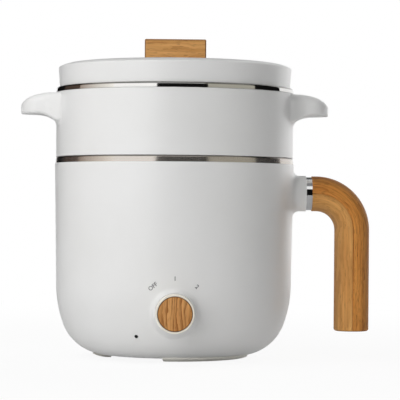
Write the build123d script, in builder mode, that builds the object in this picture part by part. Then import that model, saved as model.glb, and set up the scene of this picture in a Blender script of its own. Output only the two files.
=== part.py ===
from build123d import *
import math
import os

os.makedirs("parts", exist_ok=True)

# Heights of the stacked pieces, from the table up
foot_height = 2.4
body_height = 149.0
pot_band = 4.9
steamer_height = 50.4
liner_band = 4.2
lid_side = 15.6
lid_rise = 2.8
lid_bar_height = 19.9
body_bottom = foot_height
body_top = body_bottom + body_height
pot_rim = body_top + pot_band
steamer_top = pot_rim + steamer_height
liner_rim = steamer_top + liner_band
lid_edge = liner_rim + lid_side
lid_top = lid_edge + lid_rise

# Body outline: a slightly tapered wall that turns into the base through two tangent arcs
body_radius = 93.8
body_taper = 1.65
corner_height = 53.6
side_arc_radius = 90.5
base_inset = 41.1
body_wall = 3.0
top_edge_round = 0.5
base_flat_radius = body_radius - base_inset
body_inner = body_radius - body_wall

# Running, sliding and seating clearances, and how far a cut runs past the piece
running_fit = 0.05
slip_fit = 0.15
seat_gap = 0.3
loose_fit = 0.6
overrun = 1.0

# Sheet steel of the pot and of the steamer's liner
sheet = 1.0
air_gap = 5.8
rim_roll = 2.0
pot_floor = 55.0
pot_corner = 18.0
pot_skirt_inset = 0.4
pot_skirt_flare = 0.5
pot_edge_round = 1.4
pot_inner_radius = body_inner - air_gap - sheet
pot_outer_radius = pot_inner_radius + sheet
pot_bottom = pot_floor - sheet
pot_skirt_low = body_radius - pot_skirt_inset
pot_skirt_top = pot_skirt_low - pot_skirt_flare

# Seal between the pot's flange and the body
seal_depth = 4.0
seal_taper = 1.0
seal_round = 0.3

# Steamer
steamer_inset = 0.8
steamer_wall = 2.6
steamer_gap = 6.4
steamer_corner = 1.0
steamer_skirt_depth = 6.0
steamer_skirt_wall = 3.0
steamer_skirt_round = 0.6
liner_skirt_inset = 0.6
liner_skirt_flare = 0.7
liner_edge_round = 1.8
liner_ledge = 11.0
plate_thickness = 1.2
plate_hole_radius = 3.2
plate_rings = 4
steamer_radius = body_radius - steamer_inset
liner_inner_radius = steamer_radius - steamer_wall - steamer_gap - sheet
ledge_top = pot_rim + steamer_wall + sheet

# Lugs of the steamer
lug_reach = 27.2
lug_bury = 8.0
lug_drop = 0.7
lug_underside = 16.8
lug_crown_reach = 25.0
lug_crown_rise = 12.7
lug_half_width = 21.0
lug_nose_reach = 16.0
lug_nose_cut = 0.8
lug_top_round = 6.0
lug_edge_round = 2.0
root_reach = 15.0
root_drop = 6.0
root_flare = 6.0
lug_tip = steamer_radius + lug_reach
lug_top = steamer_top - lug_drop
lug_low = steamer_top - lug_underside

# Lid
lid_inset = 3.3
lid_flare = 0.9
lid_wall = 2.6
lid_shoulder = 7.0
lid_foot_round = 0.4
lid_edge_round = 1.2
lid_crown_round = 18.0
lid_inside_step = 1.0
lid_inside_round = 12.0
lid_bar_length = 48.2
lid_bar_depth = 16.0
lid_bar_round = 1.4
lid_bar_top_round = 1.0
lid_plug_depth = 7.5
panel_thickness = 1.6
panel_seat = 3.1
panel_step = 1.5
panel_corner = 1.0
plug_gap = 1.0
plug_corner = 3.0
lid_seal_lift = 0.1
lid_seal_inset = 1.0
lid_screw_spacing = 28.0
lid_screw_radius = 2.0
lid_screw_head_radius = 4.0
lid_screw_head = 2.4
lid_screw_grip = 11.0
lid_screw_hole = 12.0
vent_radius = 2.0
vent_offset = 34.0

# Side handle: a round bar that leaves the body sideways and bends down into a grip
handle_drop = 22.4
stub_radius = 13.9
stub_length = 9.6
stub_flare = 5.0
stub_wall = 4.0
ring_radius = 12.85
ring_length = 4.7
wood_radius = 13.7
wood_wall = 3.2
handle_straight = 3.6
bend_radius = 28.4
grip_bottom = 21.3
grip_end_round = 2.0
seam_width = 0.6
seam_depth = 0.8
bolt_radius = 2.5
bolt_head_radius = 4.5
bolt_head = 4.0
insert_radius = 5.5
insert_recess = 1.4
insert_length = 12.0
handle_z = body_top - handle_drop
stub_end = body_radius + stub_length
bolt_seat = stub_end - stub_wall
handle_start = stub_end + ring_length
insert_start = handle_start + insert_recess
bend_start = handle_start + handle_straight
grip_x = bend_start + bend_radius
bend_z = handle_z - bend_radius

# Knob, its flared boss and the rotary switch behind it
knob_z = 39.0
knob_radius = 14.45
knob_depth = 13.0
knob_rim = 1.25
knob_wall = 2.0
knob_web = 3.0
knob_back_round = 0.5
knob_disc_thickness = 2.0
knob_disc_recess = 0.2
knob_disc_chamfer = 0.3
hub_wall = 2.0
hub_gap = 0.5
boss_radius = 15.2
boss_flare_angle = 20.0
boss_flare_round = 4.0
boss_recess_radius = 11.8
boss_recess = 5.0
boss_proud = 1.2
switch_panel = 7.0
shaft_radius = 3.0
shaft_end_gap = 0.5
bush_radius = 4.5
bush_proud = 3.5
nut_thickness = 2.4
nut_radius = 7.2
switch_width = 26.0
switch_height = 22.0
switch_depth = 15.0
switch_corner = 3.0
switch_back_wall = 3.0
switch_pad = 2.0
boss_front = body_radius + boss_proud
recess_floor = boss_front - boss_recess
switch_face = recess_floor - switch_panel
switch_back = switch_face - switch_depth
knob_back = boss_front + loose_fit
knob_front = knob_back + knob_depth

# Indicator lens, set square to the curved corner of the body
lens_angle = 19.8
lens_z = 20.7
lens_radius = 1.4
lens_proud = 0.15
lamp_radius = 3.0
lamp_length = 9.0
lamp_round = 0.4
lamp_boss_radius = 4.5
lamp_boss_depth = 8.5

# Power inlet at the back
inlet_z = 28.0
inlet_proud = 0.4
inlet_boss_width = 52.0
inlet_boss_height = 26.0
inlet_boss_corner = 6.5
inlet_boss_depth = 12.5
inlet_boss_round = 2.4
inlet_edge_round = 1.2
inlet_flange_width = 46.0
inlet_flange_height = 22.0
inlet_flange_corner = 3.0
inlet_flange = 2.0
inlet_width = 29.0
inlet_height = 19.0
inlet_corner = 2.0
inlet_depth = 25.0
socket_width = 24.4
socket_height = 15.0
socket_corner = 3.0
socket_depth = 18.0
pin_spacing = 14.0
pin_length = 12.0
pin_width = 2.0
pin_height = 4.0
pin_tail_length = 6.0
live_pin_drop = 2.0
earth_pin_rise = 2.5
inlet_screw_spacing = 39.0
inlet_screw_head_radius = 2.8
inlet_screw_length = 10.0
inlet_screw_round = 0.6
inlet_face = body_radius + inlet_proud
inlet_back = inlet_face - inlet_depth
pin_tip = inlet_face - socket_depth + pin_length
pin_tail = inlet_back - pin_tail_length

# Base cover, its seat in the body and its feet
cover_rim = 4.6
cover_seat = 7.0
seat_thickness = 3.0
screw_inset = 8.0
screw_boss_radius = 4.2
screw_boss_height = 11.0
screw_radius = 1.5
screw_head_radius = 3.2
screw_head = 1.7
slot_start = 10.0
slot_margin = 10.7
slot_count = 12
slot_width = 3.0
foot_lap = 4.0
foot_width = 14.3
foot_tread = 1.8
foot_sweep = 31.0
foot_draft = 0.4
foot_round = 0.3
foot_span = 73.0
foot_starts = {"foot_front_right": -98.0, "foot_back_right": 9.5, "foot_left": 117.0}
cover_radius = base_flat_radius - cover_rim
cover_top = body_bottom + body_wall
seat_inner = cover_radius - cover_seat
seat_top = cover_top + seat_thickness
screw_ring = cover_radius - screw_inset
screw_seat = body_bottom + screw_head + slip_fit
slot_end = screw_ring - slot_margin
foot_inner = base_flat_radius - foot_lap
foot_outer = foot_inner + foot_width
screw_angles = (0.0, 120.0, 240.0)
post_angles = (60.0, 180.0, 300.0)

# Heater below the pot
plate_margin = 4.0
heat_plate = 6.0
heat_plate_chamfer = 0.8
element_inset = 17.0
element_radius = 3.3
element_drop = 0.8
element_leg_spacing = 17.0
element_bend = 7.0
element_leg = 10.0
cold_pin_radius = 1.6
cold_pin_length = 8.0
thermostat_radius = 8.0
thermostat_height = 7.0
thermostat_chamfer = 0.6
clip_spacing = 32.0
clip_width = 10.0
clip_sheet = 0.8
fuse_radius = 2.6
fuse_length = 24.0
fuse_spacing = 9.0
shield_drop = 14.0
shield_margin = 1.0
shield_sheet = 0.8
post_inset = 11.6
post_radius = 4.0
post_neck = 2.8
earth_inset = 9.0
heat_plate_radius = pot_inner_radius - pot_corner - plate_margin
plate_underside = pot_bottom - heat_plate
element_ring = heat_plate_radius - element_inset
element_z = plate_underside - element_drop
element_half_gap = math.degrees(math.asin((element_leg_spacing / 2 + element_bend) / element_ring))
thermostat_low = plate_underside - thermostat_height
shield_z = plate_underside - shield_drop
post_ring = seat_inner + post_inset
shield_radius = post_ring + post_radius + shield_margin
earth_hole = element_ring - earth_inset

# Wiring
wire_radius = 1.2
wire_bend = 4.0
wire_lead = 12.0
wire_slope = 17.2
live_drop = 10.0
neutral_drop = 8.0
heater_drop = 5.0
lamp_lead = 7.0
lamp_drop = 13.0
terminal_width = 4.8
terminal_sheet = 0.8
terminal_length = 5.5
terminal_pitch = 8.0

# Shape of the body's corner, worked out from the sizes above
corner_start = body_bottom + corner_height
corner_radius = body_radius - body_taper
taper_angle = math.atan2(body_taper, body_top - corner_start)
side_centre_r = corner_radius - side_arc_radius * math.cos(taper_angle)
side_centre_z = corner_start + side_arc_radius * math.sin(taper_angle)
reach = base_flat_radius - side_centre_r
drop = side_centre_z - body_bottom
base_arc_radius = (side_arc_radius**2 - reach**2 - drop**2) / (2 * (side_arc_radius - drop))
base_centre_z = body_bottom + base_arc_radius
turn_angle = math.atan2(drop - base_arc_radius, reach)
side_arc_size = math.degrees(turn_angle - taper_angle)
base_arc_size = 90 - math.degrees(turn_angle)
arcs_meet_z = side_centre_z - side_arc_radius * math.sin(turn_angle)


def half_plane(angle):
    """Upright plane through the axis, its x direction turned from +X by an angle in degrees."""
    turn = math.radians(angle)
    return Plane(
        origin=(0, 0, 0),
        x_dir=(math.cos(turn), math.sin(turn), 0),
        z_dir=(math.sin(turn), -math.cos(turn), 0),
    )


def turned_face(*corners, plane=half_plane(90)):
    """Half section for turning, from corners given as radius, height and corner rounding."""
    points = [(corner[0], corner[1]) for corner in corners]
    rounds = [corner[2] if len(corner) == 3 else 0 for corner in corners]
    with BuildSketch(plane) as section:
        with BuildLine():
            FilletPolyline(*points, radius=rounds, close=True)
        make_face()
    return section.sketch


def body_face(inset):
    """Half section of the body, moved inwards by inset and closed along the axis."""
    with BuildSketch(half_plane(180)) as section:
        with BuildLine():
            wall = Line(
                (body_radius - inset / math.cos(taper_angle), body_top),
                (
                    corner_radius - inset * math.cos(taper_angle),
                    corner_start + inset * math.sin(taper_angle),
                ),
            )
            side = JernArc(wall @ 1, wall % 1, side_arc_radius - inset, -side_arc_size)
            base = JernArc(side @ 1, side % 1, base_arc_radius - inset, -base_arc_size)
            Polyline(base @ 1, (0, body_bottom + inset), (0, body_top), wall @ 0)
        make_face()
    return section.sketch


def around(radius, angle):
    """Point on a circle about the axis, as x and y."""
    return (radius * math.cos(math.radians(angle)), radius * math.sin(math.radians(angle)))


def corner_place(height):
    """Radius of the body's corner at a height, and how far its surface leans down there."""
    if height > arcs_meet_z:
        lean = math.asin((side_centre_z - height) / side_arc_radius)
        return side_centre_r + side_arc_radius * math.cos(lean), lean
    lean = math.asin((base_centre_z - height) / base_arc_radius)
    return base_flat_radius + base_arc_radius * math.cos(lean), lean


# Plane on the body's corner for the indicator, its z direction square to the surface
lens_r, lens_slope = corner_place(lens_z)
lens_heading = 270 - lens_angle
lens_plane = Plane(
    origin=(*around(lens_r, lens_heading), lens_z),
    x_dir=(*around(1, lens_heading + 90), 0),
    z_dir=(*around(math.cos(lens_slope), lens_heading), -math.sin(lens_slope)),
)

# Room inside the body, less the ledges, pads and posts moulded on its inner side
with BuildPart() as body_room:
    revolve(body_face(body_wall), axis=Axis.Z)
    seat_outer = corner_place(seat_top)[0]
    revolve(
        turned_face(
            (seat_inner, cover_top - body_wall),
            (seat_outer, cover_top - body_wall),
            (seat_outer, seat_top),
            (seat_inner, seat_top),
        ),
        axis=Axis.Z,
        mode=Mode.SUBTRACT,
    )
    with BuildSketch(Plane.XY.offset(cover_top)):
        with Locations(*[around(screw_ring, angle) for angle in screw_angles]):
            Circle(screw_boss_radius)
    extrude(amount=screw_boss_height, mode=Mode.SUBTRACT)
    with BuildSketch(Plane.XZ.offset(switch_face)):
        with Locations((0, knob_z)):
            Rectangle(switch_width + 2 * switch_pad, switch_height + 2 * switch_pad)
    extrude(amount=boss_front - switch_face, mode=Mode.SUBTRACT)
    with BuildSketch(Plane.XZ.offset(-(inlet_face - inlet_boss_depth))):
        with Locations((0, inlet_z)):
            Rectangle(inlet_boss_width, inlet_boss_height)
    extrude(amount=-inlet_depth, mode=Mode.SUBTRACT)
    with BuildSketch(lens_plane.offset(-lamp_boss_depth)):
        Circle(lamp_boss_radius)
    extrude(amount=lamp_boss_depth, mode=Mode.SUBTRACT)

# Body shell with handle stub, knob boss and inlet boss
with BuildPart() as body_shell:
    revolve(body_face(0), axis=Axis.Z)
    with BuildSketch(Plane.YZ.offset(stub_end)):
        with Locations((0, handle_z)):
            Circle(stub_radius)
    extrude(amount=-(stub_length + 2 * stub_radius))
    fillet(body_shell.edges(Select.NEW), radius=stub_flare)
    with BuildSketch(Plane.XZ.offset(boss_front)):
        with Locations((0, knob_z)):
            Circle(boss_radius)
    extrude(amount=-(boss_radius + boss_proud), taper=-boss_flare_angle)
    fillet(body_shell.edges(Select.NEW), radius=boss_flare_round)
    with BuildSketch(Plane.XZ.offset(-inlet_face)):
        with Locations((0, inlet_z)):
            RectangleRounded(inlet_boss_width, inlet_boss_height, inlet_boss_corner)
    extrude(amount=inlet_depth)
    fillet(body_shell.edges(Select.NEW), radius=inlet_boss_round)
    fillet(body_shell.faces().sort_by(Axis.Y)[-1].edges(), radius=inlet_edge_round)
    rim_edges = body_shell.edges().group_by(Axis.Z)[-1]
    fillet(rim_edges, radius=top_edge_round)
    add(body_room.part, mode=Mode.SUBTRACT)
    with BuildSketch(Plane.XY.offset(body_bottom)):
        Circle(cover_radius)
    extrude(amount=body_wall, mode=Mode.SUBTRACT)
    with BuildSketch(Plane.XY.offset(cover_top)):
        with Locations(*[around(screw_ring, angle) for angle in screw_angles]):
            Circle(screw_radius + running_fit)
    extrude(amount=screw_boss_height, mode=Mode.SUBTRACT)
    with BuildSketch(Plane.YZ.offset(bolt_seat)):
        with Locations((0, handle_z)):
            Circle(stub_radius - stub_wall)
    extrude(amount=-(stub_length + body_wall), mode=Mode.SUBTRACT)
    with BuildSketch(Plane.YZ.offset(stub_end)):
        with Locations((0, handle_z)):
            Circle(bolt_radius + slip_fit)
    extrude(amount=-stub_length, mode=Mode.SUBTRACT)
    with BuildSketch(Plane.XZ.offset(boss_front)):
        with Locations((0, knob_z)):
            Circle(boss_recess_radius)
    extrude(amount=-boss_recess, mode=Mode.SUBTRACT)
    with BuildSketch(Plane.XZ.offset(boss_front)):
        with Locations((0, knob_z)):
            Circle(bush_radius + slip_fit)
    extrude(amount=-(boss_recess + switch_panel), mode=Mode.SUBTRACT)
    with BuildSketch(lens_plane.offset(lens_radius)):
        Circle(lens_radius + running_fit)
    extrude(amount=-(lamp_boss_depth + lens_radius), mode=Mode.SUBTRACT)
    with BuildSketch(Plane.XZ.offset(-inlet_face)):
        with Locations((0, inlet_z)):
            RectangleRounded(
                inlet_flange_width + 2 * slip_fit,
                inlet_flange_height + 2 * slip_fit,
                inlet_flange_corner + slip_fit,
            )
    extrude(amount=inlet_flange, mode=Mode.SUBTRACT)
    with BuildSketch(Plane.XZ.offset(-inlet_face)):
        with Locations((0, inlet_z)):
            RectangleRounded(
                inlet_width + 2 * slip_fit, inlet_height + 2 * slip_fit, inlet_corner + slip_fit
            )
    extrude(amount=inlet_depth, mode=Mode.SUBTRACT)
    with BuildSketch(Plane.XZ.offset(-inlet_face)):
        with Locations((0, inlet_z)):
            with GridLocations(inlet_screw_spacing, 1, 2, 1):
                Circle(screw_radius + running_fit)
    extrude(amount=inlet_depth, mode=Mode.SUBTRACT)
body_shell.part.label = "body_shell"
export_step(body_shell.part, "parts/body_shell.step")

# Steel pot: its flange turns down over the body's upper edge as a visible band
with BuildPart() as inner_pot:
    revolve(
        turned_face(
            (0, pot_floor),
            (pot_inner_radius, pot_floor, pot_corner),
            (pot_inner_radius, pot_rim, rim_roll),
            (pot_skirt_top, pot_rim, pot_edge_round),
            (pot_skirt_low, body_top),
            (pot_skirt_low - sheet, body_top),
            (pot_skirt_top - sheet, pot_rim - sheet, pot_edge_round - sheet),
            (pot_outer_radius, pot_rim - sheet, rim_roll - sheet),
            (pot_outer_radius, pot_bottom, pot_corner + sheet),
            (0, pot_bottom),
        ),
        axis=Axis.Z,
    )
inner_pot.part.label = "inner_pot"
export_step(inner_pot.part, "parts/inner_pot.step")

# Seal between the pot's flange and the body's upper edge
seal_inner = pot_outer_radius + slip_fit
seal_outer = pot_skirt_top - sheet - loose_fit
with BuildPart() as pot_seal:
    revolve(
        turned_face(
            (seal_inner, body_top - seal_depth, seal_round),
            (body_inner - seal_taper, body_top - seal_depth, seal_round),
            (body_inner - seat_gap, body_top),
            (seal_outer, body_top, seal_round),
            (seal_outer, pot_rim - sheet, seal_round),
            (seal_inner + rim_roll, pot_rim - sheet),
            (seal_inner, pot_rim - sheet - rim_roll),
        ),
        axis=Axis.Z,
    )
pot_seal.part.label = "pot_seal"
export_step(pot_seal.part, "parts/pot_seal.step")

# Tubular element: most of a ring under the heating plate, both ends turned down
element_ends = (270 + element_half_gap, 270 - element_half_gap)
with BuildPart() as heating_element:
    with BuildLine() as element_path:
        first = Vector(*around(element_ring, element_ends[0]), element_z)
        last = Vector(*around(element_ring, element_ends[1]), element_z)
        first_out = Vector(*around(1, element_ends[0] - 90), 0)
        last_out = Vector(*around(1, element_ends[1] + 90), 0)
        first_leg = first + first_out * element_bend - Vector(0, 0, element_bend)
        last_leg = last + last_out * element_bend - Vector(0, 0, element_bend)
        Line(first_leg - Vector(0, 0, element_leg), first_leg)
        TangentArc(first_leg, first, tangent=(0, 0, 1))
        ThreePointArc(first, (*around(element_ring, 90), element_z), last)
        TangentArc(last, last_leg, tangent=last_out)
        Line(last_leg, last_leg - Vector(0, 0, element_leg))
    leg_end = first_leg.Z - element_leg
    leg_points = [(first_leg.X, first_leg.Y), (last_leg.X, last_leg.Y)]
    with BuildSketch(Plane.XY.offset(leg_end)):
        with Locations(leg_points[0]):
            Circle(element_radius)
    sweep(path=element_path.line)
heating_element.part.label = "heating_element"
export_step(heating_element.part, "parts/heating_element.step")

# Cast plate under the pot, grooved for the element
with BuildPart() as heating_plate:
    with BuildSketch(Plane.XY.offset(plate_underside)):
        Circle(heat_plate_radius)
    extrude(amount=heat_plate)
    chamfer(heating_plate.edges().group_by(Axis.Z)[0], length=heat_plate_chamfer)
    with BuildSketch(half_plane(0)):
        with Locations((element_ring, element_z)):
            Circle(element_radius + running_fit)
    revolve(axis=Axis.Z, mode=Mode.SUBTRACT)
heating_plate.part.label = "heating_plate"
export_step(heating_plate.part, "parts/heating_plate.step")

# Cold pins of the element
with BuildPart() as heater_terminals:
    with BuildSketch(Plane.XY.offset(leg_end)):
        with Locations(*leg_points):
            Circle(cold_pin_radius)
    extrude(amount=-cold_pin_length)
heater_terminals.part.label = "heater_terminals"
export_step(heater_terminals.part, "parts/heater_terminals.step")

# Disc thermostat pressed against the plate by a strap and two screws
with BuildPart() as thermostat:
    with BuildSketch(Plane.XY.offset(thermostat_low)):
        Circle(thermostat_radius)
    extrude(amount=thermostat_height)
    chamfer(thermostat.edges().group_by(Axis.Z)[0], length=thermostat_chamfer)
thermostat.part.label = "thermostat"
export_step(thermostat.part, "parts/thermostat.step")

with BuildPart() as thermostat_clip:
    with BuildSketch(Plane.XY.offset(thermostat_low)):
        SlotCenterToCenter(clip_spacing, clip_width)
        with GridLocations(clip_spacing, 1, 2, 1):
            Circle(screw_radius + slip_fit, mode=Mode.SUBTRACT)
    extrude(amount=-clip_sheet)
thermostat_clip.part.label = "thermostat_clip"
export_step(thermostat_clip.part, "parts/thermostat_clip.step")

with BuildPart() as thermostat_screws:
    with BuildSketch(Plane.XY.offset(thermostat_low - clip_sheet)):
        with GridLocations(clip_spacing, 1, 2, 1):
            Circle(screw_head_radius)
    extrude(amount=-screw_head)
    with BuildSketch(Plane.XY.offset(thermostat_low - clip_sheet)):
        with GridLocations(clip_spacing, 1, 2, 1):
            Circle(screw_radius)
    extrude(amount=clip_sheet + thermostat_height)
thermostat_screws.part.label = "thermostat_screws"
export_step(thermostat_screws.part, "parts/thermostat_screws.step")

# Thermal fuse in its sleeve, lying against the plate outside the element
with BuildPart() as thermal_fuse:
    with BuildSketch(Plane.YZ.offset(-fuse_length / 2)):
        with Locations((element_ring + fuse_spacing, plate_underside - fuse_radius)):
            Circle(fuse_radius)
    extrude(amount=fuse_length)
thermal_fuse.part.label = "thermal_fuse"
export_step(thermal_fuse.part, "parts/thermal_fuse.step")

# Heat shield on the shoulders of three posts
with BuildPart() as support_posts:
    with BuildSketch(Plane.XY.offset(seat_top)):
        with Locations(*[around(post_ring, angle) for angle in post_angles]):
            Circle(post_radius)
    extrude(amount=shield_z - seat_top)
    with BuildSketch(Plane.XY.offset(shield_z)):
        with Locations(*[around(post_ring, angle) for angle in post_angles]):
            Circle(post_neck)
    extrude(amount=plate_underside - shield_z)
support_posts.part.label = "support_posts"
export_step(support_posts.part, "parts/support_posts.step")

with BuildPart() as heat_shield:
    with BuildSketch(Plane.XY.offset(shield_z)):
        Circle(shield_radius)
        with Locations(*[around(post_ring, angle) for angle in post_angles]):
            Circle(post_neck + slip_fit, mode=Mode.SUBTRACT)
        with Locations(*leg_points):
            Circle(element_radius + loose_fit, mode=Mode.SUBTRACT)
        with Locations((0, earth_hole)):
            Circle(wire_radius * 2, mode=Mode.SUBTRACT)
    extrude(amount=shield_sheet)
heat_shield.part.label = "heat_shield"
export_step(heat_shield.part, "parts/heat_shield.step")

# Base cover with vent slots and screw pockets
with BuildPart() as base_cover:
    with BuildSketch(Plane.XY.offset(body_bottom)):
        Circle(cover_radius - seat_gap)
        with PolarLocations((slot_start + slot_end) / 2, slot_count):
            SlotOverall(slot_end - slot_start, slot_width, mode=Mode.SUBTRACT)
        with Locations(*[around(screw_ring, angle) for angle in screw_angles]):
            Circle(screw_radius + slip_fit, mode=Mode.SUBTRACT)
    extrude(amount=body_wall)
    with BuildSketch(Plane.XY.offset(body_bottom)):
        with Locations(*[around(screw_ring, angle) for angle in screw_angles]):
            Circle(screw_head_radius + slip_fit)
    extrude(amount=screw_head + slip_fit, mode=Mode.SUBTRACT)
base_cover.part.label = "base_cover"
export_step(base_cover.part, "parts/base_cover.step")

with BuildPart() as base_screws:
    with BuildSketch(Plane.XY.offset(screw_seat)):
        with Locations(*[around(screw_ring, angle) for angle in screw_angles]):
            Circle(screw_head_radius)
    extrude(amount=-screw_head)
    with BuildSketch(Plane.XY.offset(screw_seat)):
        with Locations(*[around(screw_ring, angle) for angle in screw_angles]):
            Circle(screw_radius)
    extrude(amount=screw_boss_height)
base_screws.part.label = "base_screws"
export_step(base_screws.part, "parts/base_screws.step")

# Three curved feet: their tops follow the body's underside and their treads sweep up to a thin outer edge
foot_seat = body_bottom - running_fit
foot_arc_radius = base_arc_radius + running_fit
foot_arc_size = math.degrees(math.asin((foot_outer - base_flat_radius) / foot_arc_radius))
tread_inner = foot_inner + foot_draft
tread_outer = foot_inner + foot_tread
sweep_size = math.degrees(math.asin((foot_outer - tread_outer) / foot_sweep))
for foot_name, foot_start in foot_starts.items():
    with BuildPart() as foot:
        with BuildSketch(half_plane(foot_start)) as foot_section:
            with BuildLine():
                foot_flat = Line((foot_inner, foot_seat), (base_flat_radius, foot_seat))
                foot_curve = JernArc(foot_flat @ 1, foot_flat % 1, foot_arc_radius, foot_arc_size)
                tread = Line((tread_inner, 0), (tread_outer, 0))
                tread_sweep = JernArc(tread @ 1, tread % 1, foot_sweep, sweep_size)
                Line(foot_curve @ 1, tread_sweep @ 1)
                Line(tread @ 0, foot_flat @ 0)
            make_face()
            fillet(foot_section.vertices().group_by(Axis.Y)[0].sort_by(Axis.X)[0], radius=foot_round)
        revolve(axis=Axis.Z, revolution_arc=foot_span)
    foot.part.label = foot_name
    export_step(foot.part, f"parts/{foot_name}.step")

# Rotary switch: case and bush in one moulding, blades at its back, nut in the boss
with BuildPart() as rotary_switch:
    with BuildSketch(Plane.XZ.offset(switch_face)):
        with Locations((0, knob_z)):
            RectangleRounded(switch_width, switch_height, switch_corner)
    extrude(amount=-switch_depth)
    with BuildSketch(Plane.XZ.offset(switch_face)):
        with Locations((0, knob_z)):
            Circle(bush_radius)
    extrude(amount=switch_panel + bush_proud)
    with BuildSketch(Plane.XZ.offset(switch_face + switch_panel + bush_proud)):
        with Locations((0, knob_z)):
            Circle(shaft_radius + running_fit)
    extrude(amount=-(switch_panel + bush_proud + switch_depth - switch_back_wall), mode=Mode.SUBTRACT)
rotary_switch.part.label = "rotary_switch"
export_step(rotary_switch.part, "parts/rotary_switch.step")

with BuildPart() as switch_terminals:
    with BuildSketch(Plane.XZ.offset(switch_back)):
        with Locations((0, knob_z)):
            with GridLocations(terminal_pitch, 1, 3, 1):
                Rectangle(terminal_width, terminal_sheet)
    extrude(amount=-terminal_length)
switch_terminals.part.label = "switch_terminals"
export_step(switch_terminals.part, "parts/switch_terminals.step")

with BuildPart() as switch_nut:
    with BuildSketch(Plane.XZ.offset(recess_floor)):
        with Locations((0, knob_z)):
            RegularPolygon(nut_radius, 6)
            Circle(bush_radius + running_fit, mode=Mode.SUBTRACT)
    extrude(amount=nut_thickness)
switch_nut.part.label = "switch_nut"
export_step(switch_nut.part, "parts/switch_nut.step")

# Knob: a cup on the switch's shaft with a disc let into its front
hub_back = recess_floor + bush_proud + hub_gap
disc_seat = knob_front - knob_disc_thickness - knob_disc_recess
disc_room = knob_radius - knob_rim
web_back = disc_seat - knob_web
with BuildPart() as knob_cap:
    with BuildSketch(Plane.XZ.offset(knob_back)):
        with Locations((0, knob_z)):
            Circle(knob_radius)
    extrude(amount=knob_depth)
    fillet(knob_cap.edges().group_by(Axis.Y)[0], radius=knob_back_round)
    with BuildSketch(Plane.XZ.offset(knob_back)):
        with Locations((0, knob_z)):
            Circle(knob_radius - knob_wall)
    extrude(amount=web_back - knob_back, mode=Mode.SUBTRACT)
    with BuildSketch(Plane.XZ.offset(disc_seat)):
        with Locations((0, knob_z)):
            Circle(disc_room)
    extrude(amount=knob_front - disc_seat, mode=Mode.SUBTRACT)
    with BuildSketch(Plane.XZ.offset(hub_back)):
        with Locations((0, knob_z)):
            Circle(shaft_radius + hub_wall)
    extrude(amount=web_back - hub_back)
    with BuildSketch(Plane.XZ.offset(hub_back)):
        with Locations((0, knob_z)):
            Circle(shaft_radius + running_fit)
    extrude(amount=web_back - hub_back, mode=Mode.SUBTRACT)
knob_cap.part.label = "knob_cap"
export_step(knob_cap.part, "parts/knob_cap.step")

with BuildPart() as knob_disc:
    with BuildSketch(Plane.XZ.offset(disc_seat)):
        with Locations((0, knob_z)):
            Circle(disc_room - seat_gap)
    extrude(amount=knob_disc_thickness)
    chamfer(knob_disc.edges().group_by(Axis.Y)[0], length=knob_disc_chamfer)
knob_disc.part.label = "knob_disc"
export_step(knob_disc.part, "parts/knob_disc.step")

with BuildPart() as switch_shaft:
    with BuildSketch(Plane.XZ.offset(web_back)):
        with Locations((0, knob_z)):
            Circle(shaft_radius)
    extrude(amount=-(web_back - switch_back - switch_back_wall - shaft_end_gap))
switch_shaft.part.label = "switch_shaft"
export_step(switch_shaft.part, "parts/switch_shaft.step")

# Indicator: a short light pipe and the lamp behind it
with BuildPart() as indicator_lens:
    with BuildSketch(lens_plane.offset(lens_proud)):
        Circle(lens_radius)
    extrude(amount=-(lamp_boss_depth + lens_proud))
indicator_lens.part.label = "indicator_lens"
export_step(indicator_lens.part, "parts/indicator_lens.step")

with BuildPart() as indicator_lamp:
    with BuildSketch(lens_plane.offset(-lamp_boss_depth)):
        Circle(lamp_radius)
    extrude(amount=-lamp_length)
    fillet(indicator_lamp.edges(), radius=lamp_round)
indicator_lamp.part.label = "indicator_lamp"
export_step(indicator_lamp.part, "parts/indicator_lamp.step")

# Power inlet with its pins and screws
pin_places = [
    (pin_spacing / 2, -live_pin_drop),
    (-pin_spacing / 2, -live_pin_drop),
    (0, earth_pin_rise),
]
with BuildPart() as power_inlet:
    with BuildSketch(Plane.XZ.offset(-inlet_face)):
        with Locations((0, inlet_z)):
            RectangleRounded(inlet_flange_width, inlet_flange_height, inlet_flange_corner)
            with GridLocations(inlet_screw_spacing, 1, 2, 1):
                Circle(screw_radius + slip_fit, mode=Mode.SUBTRACT)
    extrude(amount=inlet_flange)
    with BuildSketch(Plane.XZ.offset(-inlet_face)):
        with Locations((0, inlet_z)):
            RectangleRounded(inlet_width, inlet_height, inlet_corner)
    extrude(amount=inlet_depth)
    with BuildSketch(Plane.XZ.offset(-inlet_face)):
        with Locations((0, inlet_z)):
            RectangleRounded(socket_width, socket_height, socket_corner)
    extrude(amount=socket_depth, mode=Mode.SUBTRACT)
    with BuildSketch(Plane.XZ.offset(-inlet_face)):
        with Locations((0, inlet_z)):
            with Locations(*pin_places):
                Rectangle(pin_width + running_fit, pin_height + running_fit)
    extrude(amount=inlet_depth, mode=Mode.SUBTRACT)
power_inlet.part.label = "power_inlet"
export_step(power_inlet.part, "parts/power_inlet.step")

with BuildPart() as inlet_pins:
    with BuildSketch(Plane.XZ.offset(-pin_tail)):
        with Locations((0, inlet_z)):
            with Locations(*pin_places):
                Rectangle(pin_width, pin_height)
    extrude(amount=-(pin_tip - pin_tail))
inlet_pins.part.label = "inlet_pins"
export_step(inlet_pins.part, "parts/inlet_pins.step")

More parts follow.
